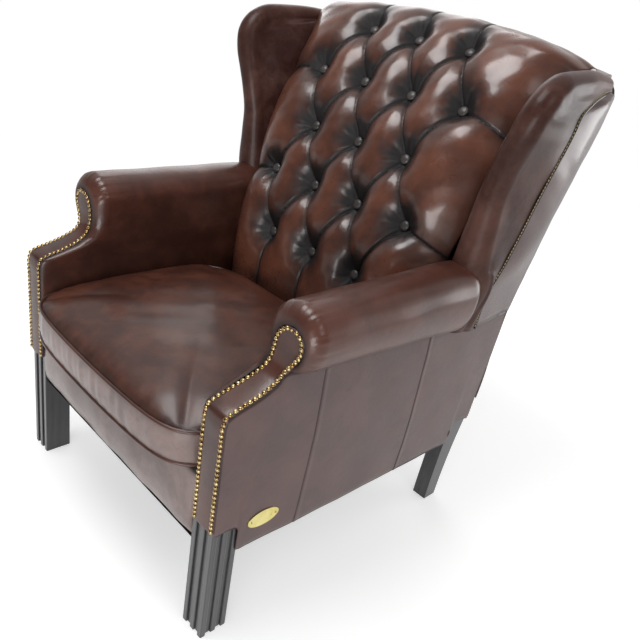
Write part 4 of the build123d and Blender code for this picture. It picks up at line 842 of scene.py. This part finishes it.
def front_section(turn):
    """Edge of the facing that the cover starts from."""
    rows = ((0, 0.289, 0.340), (0.14, 0.289, 0.420), (0.26, 0.289, 0.488), (0.30, 0.289, 0.508),
            (0.35, 0.294, 0.530), (0.38, 0.297, 0.543), (0.42, 0.299, 0.560),
            (0.48, 0.300, 0.580), (0.54, 0.308, 0.599), (0.60, 0.321, 0.6105),
            (0.65, 0.336, 0.615), (0.70, 0.349, 0.613), (0.76, 0.3615, 0.605),
            (0.82, 0.3685, 0.592), (0.87, 0.368, 0.577), (0.92, 0.362, 0.562),
            (0.96, 0.353, 0.550), (1, 0.3455, 0.538))
    return through(rows, turn).T


LIP_END = 0.16  # share of the way back where the cover's rounded front edge ends


def arm_surface(turn, back):
    x0, z0 = front_section(turn)
    wall = 1 - smooth(turn, 0.34, 0.44)
    start = np.where(turn < 0.42, sweep_depth(z0), 0.1115)
    round_off = mix(0.030, 0.026, wall)
    lip = np.clip(back / LIP_END, 0, 1) * pi / 2
    full = start + round_off
    depth = np.where(back < LIP_END, start + round_off * (1 - np.cos(lip)),
                     mix(full, ARM_END, ramp(back, LIP_END, 1)))
    grown = np.sin(lip)
    x1, z1 = arm_section(turn, depth)
    z1 = mix(z1, z0, wall * (1 - smooth(depth, 0.0, 0.25)))
    x, z = mix(x0, x1, grown), mix(z0, z1, grown)
    points = np.column_stack([x, depth, z])
    roll = smooth(turn, 0.45, 0.5) * (1 - smooth(turn, 0.97, 1.0))
    reach = np.hypot(x - 0.332, z - 0.59)[:, None]
    out = np.column_stack([x - 0.332, np.zeros_like(x), z - 0.59]) / np.maximum(reach, 1e-4)
    gather = (np.sin(tau * 29 * turn + 2 * np.sin(17 * turn)) * 0.6
              + np.sin(tau * 47 * turn + 1.0) * 0.4)
    strength = 0.0009 * roll * bell(depth - start - 0.016, 0.014)
    strength += 0.0003 * roll * bell(depth - start - 0.05, 0.04)
    points += out * (gather * strength * grown)[:, None]
    points += out * (0.0014 * ripple(points, 0.09, 3) * roll * smooth(depth, 0.15, 0.2))[:, None]
    points[:, 0] -= 0.0012 * ripple(points, 0.08, 7) * wall * smooth(depth, 0.02, 0.1)
    # Painted shade where the cover leaves the facing and along the seam under the roll.
    crease = bell(back, 0.03) + 0.6 * bell(1 - turn, 0.02)
    return points, {"fold": 0.8 * crease, "worn": 0.45 * roll}


arm = thicken(skin("arm_roll_right", 150, 130, arm_surface))
settle_pair(arm, arm_leather, "arm_pad")


def nail_model():
    """Domed head of a decorative nail."""
    piece = ball("nail_model", 10, 8)
    edit("SELECT")
    bpy.ops.mesh.bisect(plane_co=(0, 0, -0.05), plane_no=(0, 0, 1), clear_inner=True,
                        use_fill=True)
    end_edit()
    return shape(piece, corners(piece) * (0.0044, 0.0044, 0.0030))


def nail_places():
    """Heads along both edges of the facing and round its scroll."""
    places = []
    way = np.linspace(0.004, FACING_LENGTH, 900)
    line = through(FACING, way)
    step = unit(heading(FACING, way, 0.002)[:, :2])
    for edge, inward in ((2, 1), (3, -1)):
        across, height = line[:, edge].copy(), line[:, 1]
        scroll = smooth(height, 0.53, 0.565)
        out = unit(np.column_stack([across, height]) - SCROLL_MIDDLE)
        spots = np.column_stack([
            across + inward * NAIL_INSET * (1 - scroll) - out[:, 0] * NAIL_INSET * scroll,
            line[:, 0], height - out[:, 1] * NAIL_INSET * scroll])
        run = stations(spots)[:, 0]
        count = int(run[-1] / NAIL_PITCH)
        for k in range(count + (edge == 2)):
            i = np.searchsorted(run, run[-1] * k / count)
            i = min(i, len(run) - 1)
            normal = (0, -step[i, 1], step[i, 0])
            spot = spots[i] + np.array(normal) * 0.0012
            places.append(((spot[0], spot[1] + FRONT, spot[2]), turned_to(normal, (1, 0, 0))))
    return places


nails = scattered("brass_nails_right", nail_model(), nail_places())
settle_pair(nails, nail_brass, "facing_nails")


# Outside covers

SIDE_HEM = stations([(0.0, 0.246), (0.042, 0.2455), (0.048, 0.243), (0.0508, 0.236),
                     (0.0512, 0.226), (0.0512, 0.200), (0.052, 0.192), (0.060, 0.1885),
                     (0.075, 0.188), (0.15, 0.184), (0.25, 0.179), (0.35, 0.176),
                     (0.45, 0.173), (0.56, 0.170), (0.64, 0.168), (0.668, 0.167),
                     (0.677, 0.168),
                     (0.6805, 0.191), (0.684, 0.210), (0.694, 0.219), (0.706, 0.221),
                     (0.724, 0.219), (0.746, 0.214)])
SIDE_TOP = stations([(-0.003, 0.470), (0.0, 0.4855), (0.010, 0.4915), (0.035, 0.499),
                     (0.075, 0.513), (0.096, 0.525), (0.107, 0.537), (0.130, 0.5365),
                     (0.40, 0.518), (0.655, 0.500), (0.69, 0.500), (0.780, 0.500)])


# Depth of each seam at mid height and how far it leans
SIDE_SEAMS = ((0.197, 0.10), (0.489, 0.06))


def side_surface(along, up):
    low = through(SIDE_HEM, along * SIDE_HEM[-1, 0])
    high = through(SIDE_TOP, along * SIDE_TOP[-1, 0])
    points = mix(low, high, up[:, None])
    depth, height = points.T
    x = 0.3455 + 0.0045 * np.sin(pi * np.clip(along, 0, 1)) * np.sin(pi * up) ** 0.7
    x += 0.0008 * ripple(np.column_stack([x, depth, height]), 0.07, 4)
    seams = np.zeros_like(x)
    for seam, lean in SIDE_SEAMS:
        gap = depth - (seam - lean * (0.5 - height) ** 2)
        x -= 0.0013 * bell(gap, 0.0011)
        x += 0.0007 * bell(gap - 0.005, 0.005)
        seams += bell(gap, 0.0013)
    hem = bell(up, 0.012)
    x -= 0.0015 * hem
    # Painted shade in the seams, along the hem and under the arm's roll.
    return np.column_stack([x, depth, height]), {"fold": 0.8 * seams + 0.5 * hem
                                                 + 0.6 * bell(1 - up, 0.02)}


side = thicken(skin("side_cover_right", 640, 36, side_surface))
settle_pair(side, panel_leather, "side_panel")

low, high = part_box("front_border")
BORDER_HALF = high.x


def border_surface(across, up):
    x = mix(-BORDER_HALF, BORDER_HALF, across)
    z = mix(low.z, high.z, up)
    depth = 0.006 - 0.018 * np.sin(pi * up ** 0.75) ** 0.7 * np.sin(pi * across) ** 0.2
    points = np.column_stack([x, depth, z])
    points[:, 1] -= 0.0012 * ripple(points, 0.045, 6)
    # Painted shade under the cushion and along the bottom edge.
    return points, {"fold": 0.7 * bell(1 - up, 0.04) + 0.5 * bell(up, 0.03)}


border = thicken(skin("front_border_cover", 150, 34, border_surface))
settle(border, border_leather, stands_for=["front_border"])

back_low, back_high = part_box("outside_back")
BACK_EDGE = ((0.190, 0.745, 0.346), (0.270, 0.763, 0.346), (0.500, 0.781, 0.346),
             (0.590, 0.800, 0.350), (0.645, 0.813, 0.352), (0.725, 0.832, 0.357),
             (0.780, 0.8455, 0.361), (0.835, 0.859, 0.365), (0.900, 0.875, 0.370),
             (0.945, 0.886, 0.372), (0.983, 0.895, 0.368), (1.012, 0.902, 0.346))


def outside_back_surface(across, up):
    side = 2 * across - 1
    hem = mix(0.226, back_low.z, smooth(np.abs(side), 0.82, 0.88))
    z = mix(hem, back_high.z, up)
    depth, half = through(BACK_EDGE, z).T
    x = -side * half * np.where(z > 0.985, 1 - 0.035 * ((z - 0.985) / 0.027) ** 2, 1)
    edge = np.abs(side)
    depth = depth + 0.005 * (1 - edge**4) * np.sin(pi * up) ** 0.5 - 0.004 * edge**30
    points = np.column_stack([x, depth, z])
    points[:, 1] += 0.001 * ripple(points, 0.09, 8)
    # Painted shade along the side edges.
    return points, {"fold": 0.6 * edge**24}


outer_back = thicken(skin("outside_back_cover", 110, 90, outside_back_surface))
settle(outer_back, panel_leather, stands_for=["outside_back"])


# Seat cushion with its piping

# Depth of the middle, half width and half depth
CUSHION_MIDDLE, CUSHION_HALF_WIDTH, CUSHION_HALF = 0.203, 0.2835, 0.238
CUSHION_STRETCH = 1.19  # width to depth, as the piping's outward way takes it
CUSHION_CROWN = 0.054
CUSHION_LOW, CUSHION_HIGH = 0.3465, 0.4145
CORNER_POWER = 7.0


def cushion_outline(x, y):
    """Pull a square's corners in to the cushion's rounded outline; its front bows out."""
    ring = np.maximum(np.abs(x), np.abs(y))
    length = (np.abs(x) ** CORNER_POWER + np.abs(y) ** CORNER_POWER) ** (1 / CORNER_POWER)
    pull = np.where(length > 1e-9, ring / np.maximum(length, 1e-9), 1)
    across = x * pull * CUSHION_HALF_WIDTH
    depth = CUSHION_MIDDLE + y * pull * CUSHION_HALF
    return across, depth - 0.012 * np.clip(-y, 0, 1) ** 2 * (1 - x**2)


def cushion_shape():
    bpy.ops.mesh.primitive_cube_add(size=2, location=(0, 0, 0))
    piece = start_piece("seat_cushion_cover")
    edit("SELECT")
    bpy.ops.mesh.subdivide(number_cuts=95)
    end_edit()
    a, b, c = corners(piece).T
    level = np.abs(c) > 0.999
    across, depth = cushion_outline(a, b)
    crown = ((1 - np.abs(a) ** 3.4) * (1 - np.abs(b) ** 3.4)) ** 0.62
    height = mix(CUSHION_LOW, CUSHION_HIGH, (c + 1) / 2)
    top = level & (c > 0)
    height = np.where(top, CUSHION_HIGH + CUSHION_CROWN * crown, height)
    points = np.column_stack([across, depth, height])
    wall = np.where(level, 0, 1 - c**2)
    out = np.column_stack([across, depth - CUSHION_MIDDLE, np.zeros_like(a)])
    out /= np.maximum(np.linalg.norm(out, axis=1), 1e-6)[:, None]
    run = np.arctan2(b, a)
    pucker = (np.sin(47 * run + 3 * np.sin(5 * run)) + 0.7 * np.sin(83 * run + 2 * c)) / 1.7
    points += out * (wall * (0.0045 + 0.0012 * pucker))[:, None]
    inward = 1 - np.maximum(np.abs(a), np.abs(b))
    rim = bell(inward, 0.09)
    swell = 0.0022 * ripple(points, 0.07, 9) * crown + 0.0009 * rim * pucker
    points[:, 2] += np.where(top, swell, 0)
    points[:, 1] += FRONT
    # Painted shade beside the piping, on the top and on the border.
    fold = np.where(top, 0.5 * bell(inward, 0.03), 0)
    fold = np.where(level, fold, 0.35 * np.abs(c) ** 8)
    shape(piece, points, fold=fold, worn=np.where(top, 0.3, 0))
    piece.data.materials.append(cushion_leather)
    piece.data.materials.append(border_leather)
    for face in piece.data.polygons:
        height = np.mean([c[i] for i in face.vertices])
        face.material_index = 0 if height > 0.999 else 1
    bpy.ops.object.shade_smooth()
    return piece


cushion = cushion_shape()
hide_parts("seat_cushion")
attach(cushion, "cushion")


def piping_line(height):
    def place(share):
        turn = share * tau
        x, y = np.cos(turn), np.sin(turn)
        ring = np.maximum(np.abs(x), np.abs(y))
        x, y = x / ring, y / ring
        across, depth = cushion_outline(x, y)
        way = unit(np.column_stack([across, (depth - CUSHION_MIDDLE) * CUSHION_STRETCH,
                                    np.zeros_like(x)]))
        middle = np.column_stack([across, depth, np.full_like(x, height)])
        return middle + 0.0012 * way, way
    return place


for label, level in (("top", CUSHION_HIGH), ("bottom", CUSHION_LOW + 0.0032)):
    cord = torus_along(f"cushion_piping_cord_{label}", piping_line(level), 420, 0.0036)
    settle(cord, arm_leather, "cushion", [f"cushion_piping_{label}"])


# Deck under the cushion, plate and what stays from the frame

deck_low, deck_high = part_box("seat_deck")


def deck_surface(across, back):
    x = mix(deck_low.x, deck_high.x, across)
    depth = mix(deck_low.y, deck_high.y, back) - FRONT
    dip = np.sin(pi * across) * np.sin(pi * back)
    points = np.column_stack([x, depth, deck_high.z - 0.006 * dip])
    points[:, 2] += 0.0006 * ripple(points, 0.05, 2) - 0.0006
    return points, {}


deck = thicken(skin("platform_cover", 60, 50, deck_surface), 0.004)
settle(deck, calico, stands_for=["seat_deck"])

PLATE_FACE, PLATE_DEPTH, PLATE_HEIGHT = 0.3475, 0.105, 0.242
PIN_OFFSET = 0.0275


def plate_shape():
    """Bare oval plate with a rolled edge; its two pins are a piece of their own."""
    bpy.ops.mesh.primitive_cylinder_add(vertices=64, radius=1, depth=1, location=(0, 0, 0))
    piece = start_piece("oval_plate")
    edit("DESELECT")
    end_edit()
    for face in piece.data.polygons:
        face.select = face.normal.z > 0.9
    bpy.ops.object.mode_set(mode="EDIT")
    bpy.ops.mesh.select_mode(type="FACE")
    for inset, lift in ((0.10, 0.35), (0.05, -0.28), (0.35, 0.06)):
        bpy.ops.mesh.inset(thickness=inset)
        bpy.ops.transform.translate(value=(0, 0, lift))
    end_edit()
    x, y, z = corners(piece).T
    tilt = radians(5)
    along, up = x * 0.035, y * 0.0165
    depth = PLATE_DEPTH + along * cos(tilt) + up * sin(tilt)
    height = PLATE_HEIGHT - along * sin(tilt) * 0.6 + up * cos(tilt)
    points = np.column_stack([PLATE_FACE + 0.0012 * (z + 0.5), depth + FRONT, height])
    shape(piece, points)
    face_outward(piece)
    bpy.ops.object.shade_smooth_by_angle(angle=radians(30))
    return piece


plate = plate_shape()
settle(plate, plate_brass, stands_for=["brass_plate"])

pins = scattered("plate_pins", nail_model(), [
    ((PLATE_FACE + 0.0012, PLATE_DEPTH + offset + FRONT, PLATE_HEIGHT - 0.05 * offset),
     turned_to((1, 0, 0)) @ Matrix.Diagonal((0.5, 0.5, 0.6)))
    for offset in (-PIN_OFFSET, PIN_OFFSET)])
settle(pins, nail_brass)

FINISHES = {"front_leg": leg_wood, "rear_leg": leg_wood, "back_webbing": jute,
            "seat_webbing": jute, "dust_cover": dust_cloth, "corner_block_screws": steel}
for name, node in nodes.items():
    finish = next((m for start, m in FINISHES.items() if name.startswith(start)), frame_wood)
    node.data.materials.clear()
    node.data.materials.append(finish)


# Studio

def floor_material():
    """Pale paper: it takes the chair's shadow near by and is plain white farther off."""
    material, tree, shader = new_material("studio_floor", Roughness=0.9)
    where = object_place(tree)
    away = lay_node(tree, "ShaderNodeVectorMath", {"operation": "LENGTH"}, Vector=where)
    far = spread(tree, away.outputs["Value"], 0.9, 3.0)
    tree.links.new(blend_colour(tree, far, (0.80, 0.80, 0.80, 1), (0, 0, 0, 1)),
                   shader.inputs["Base Color"])
    glow = blend_colour(tree, far, (0.47, 0.47, 0.47, 1), (1, 1, 1, 1))
    path = tree.nodes.new("ShaderNodeLightPath").outputs
    seen = math(tree, "MAXIMUM", path["Is Camera Ray"], math(
        tree, "MAXIMUM", math(tree, "MULTIPLY", path["Is Glossy Ray"], 0.6),
        path["Is Transmission Ray"]))
    glow = blend_colour(tree, math(tree, "MAXIMUM", seen, 0.3), (0, 0, 0, 1), glow)
    tree.links.new(glow, shader.inputs["Emission Color"])
    shader.inputs["Specular IOR Level"].default_value = 0
    shader.inputs["Emission Strength"].default_value = 1
    return material


bpy.ops.mesh.primitive_plane_add(size=60, location=(0, 0, -0.0005))
floor = start_piece("studio_floor_sheet")
floor.data.materials.append(floor_material())

world = bpy.data.worlds.new("studio")
bpy.context.scene.world = world
world.use_nodes = True
tree = world.node_tree
tree.nodes.clear()
path = tree.nodes.new("ShaderNodeLightPath").outputs
seen = math(tree, "MAXIMUM", path["Is Camera Ray"],
            math(tree, "MAXIMUM", path["Is Glossy Ray"], path["Is Transmission Ray"]))
ambient = lay_node(tree, "ShaderNodeBackground", Color=(1, 1, 1, 1), Strength=0.42)
# Polished surfaces see the white backdrop behind the chair and a darker room in front of it
towards = lay_node(tree, "ShaderNodeVectorMath", {"operation": "DOT_PRODUCT"},
                   Vector=lay_node(tree, "ShaderNodeTexCoord").outputs["Generated"])
towards.inputs[1].default_value = (-0.60, 0.68, 0.42)
room = spread(tree, towards.outputs["Value"], 0.0, 1.0, 0.05, 0.7)
strength = math(tree, "MAXIMUM", path["Is Camera Ray"], room)
backdrop = lay_node(tree, "ShaderNodeBackground", Color=(1, 1, 1, 1), Strength=strength)
join = tree.nodes.new("ShaderNodeMixShader")
tree.links.new(seen, join.inputs[0])
tree.links.new(ambient.outputs[0], join.inputs[1])
tree.links.new(backdrop.outputs[0], join.inputs[2])
tree.links.new(join.outputs[0], tree.nodes.new("ShaderNodeOutputWorld").inputs[0])


def soft_box(name, place, aim, size, power):
    light = bpy.data.lights.new(name, "AREA")
    light.shape = "RECTANGLE"
    light.size, light.size_y = size
    light.energy = power
    lamp = new_object(name, light)
    lamp.location = place
    lamp.rotation_euler = (Vector(aim) - Vector(place)).to_track_quat("-Z", "Y").to_euler()


# Name, place, what it points at, size in metres and power in watts
LAMPS = (("top_box", (-0.25, -0.75, 2.9), (0, 0, 0.5), (1.3, 1.1), 36),
         ("window_left", (-2.4, 2.0, 1.9), (0, 0, 0.5), (2.4, 2.2), 22),
         ("window_right", (2.6, -0.3, 2.7), (0, 0, 0.6), (1.2, 1.2), 10),
         ("rear_right", (1.75, 3.3, 0.75), (0.3, 0.3, 0.7), (2.0, 1.5), 34),
         ("front_right", (1.9, -2.7, 0.55), (0, 0, 0.6), (1.7, 1.2), 44))
for lamp in LAMPS:
    soft_box(*lamp)

# Camera matched to the photograph's viewpoint
view = bpy.data.cameras.new("camera")
view.lens, view.sensor_width = 38.27, 36
camera = new_object("camera", view)
CAMERA_PLACE = (0.97714, FRONT - 0.55037, 1.09325)
CAMERA_TURN = Matrix(((0.68108, -0.42693, 0.59487), (0.71391, 0.20671, -0.66903),
                      (0.16266, 0.88034, 0.44558)))
camera.matrix_world = Matrix.Translation(CAMERA_PLACE) @ CAMERA_TURN.to_4x4()
bpy.context.scene.camera = camera
bpy.context.scene.view_settings.view_transform = "Standard"
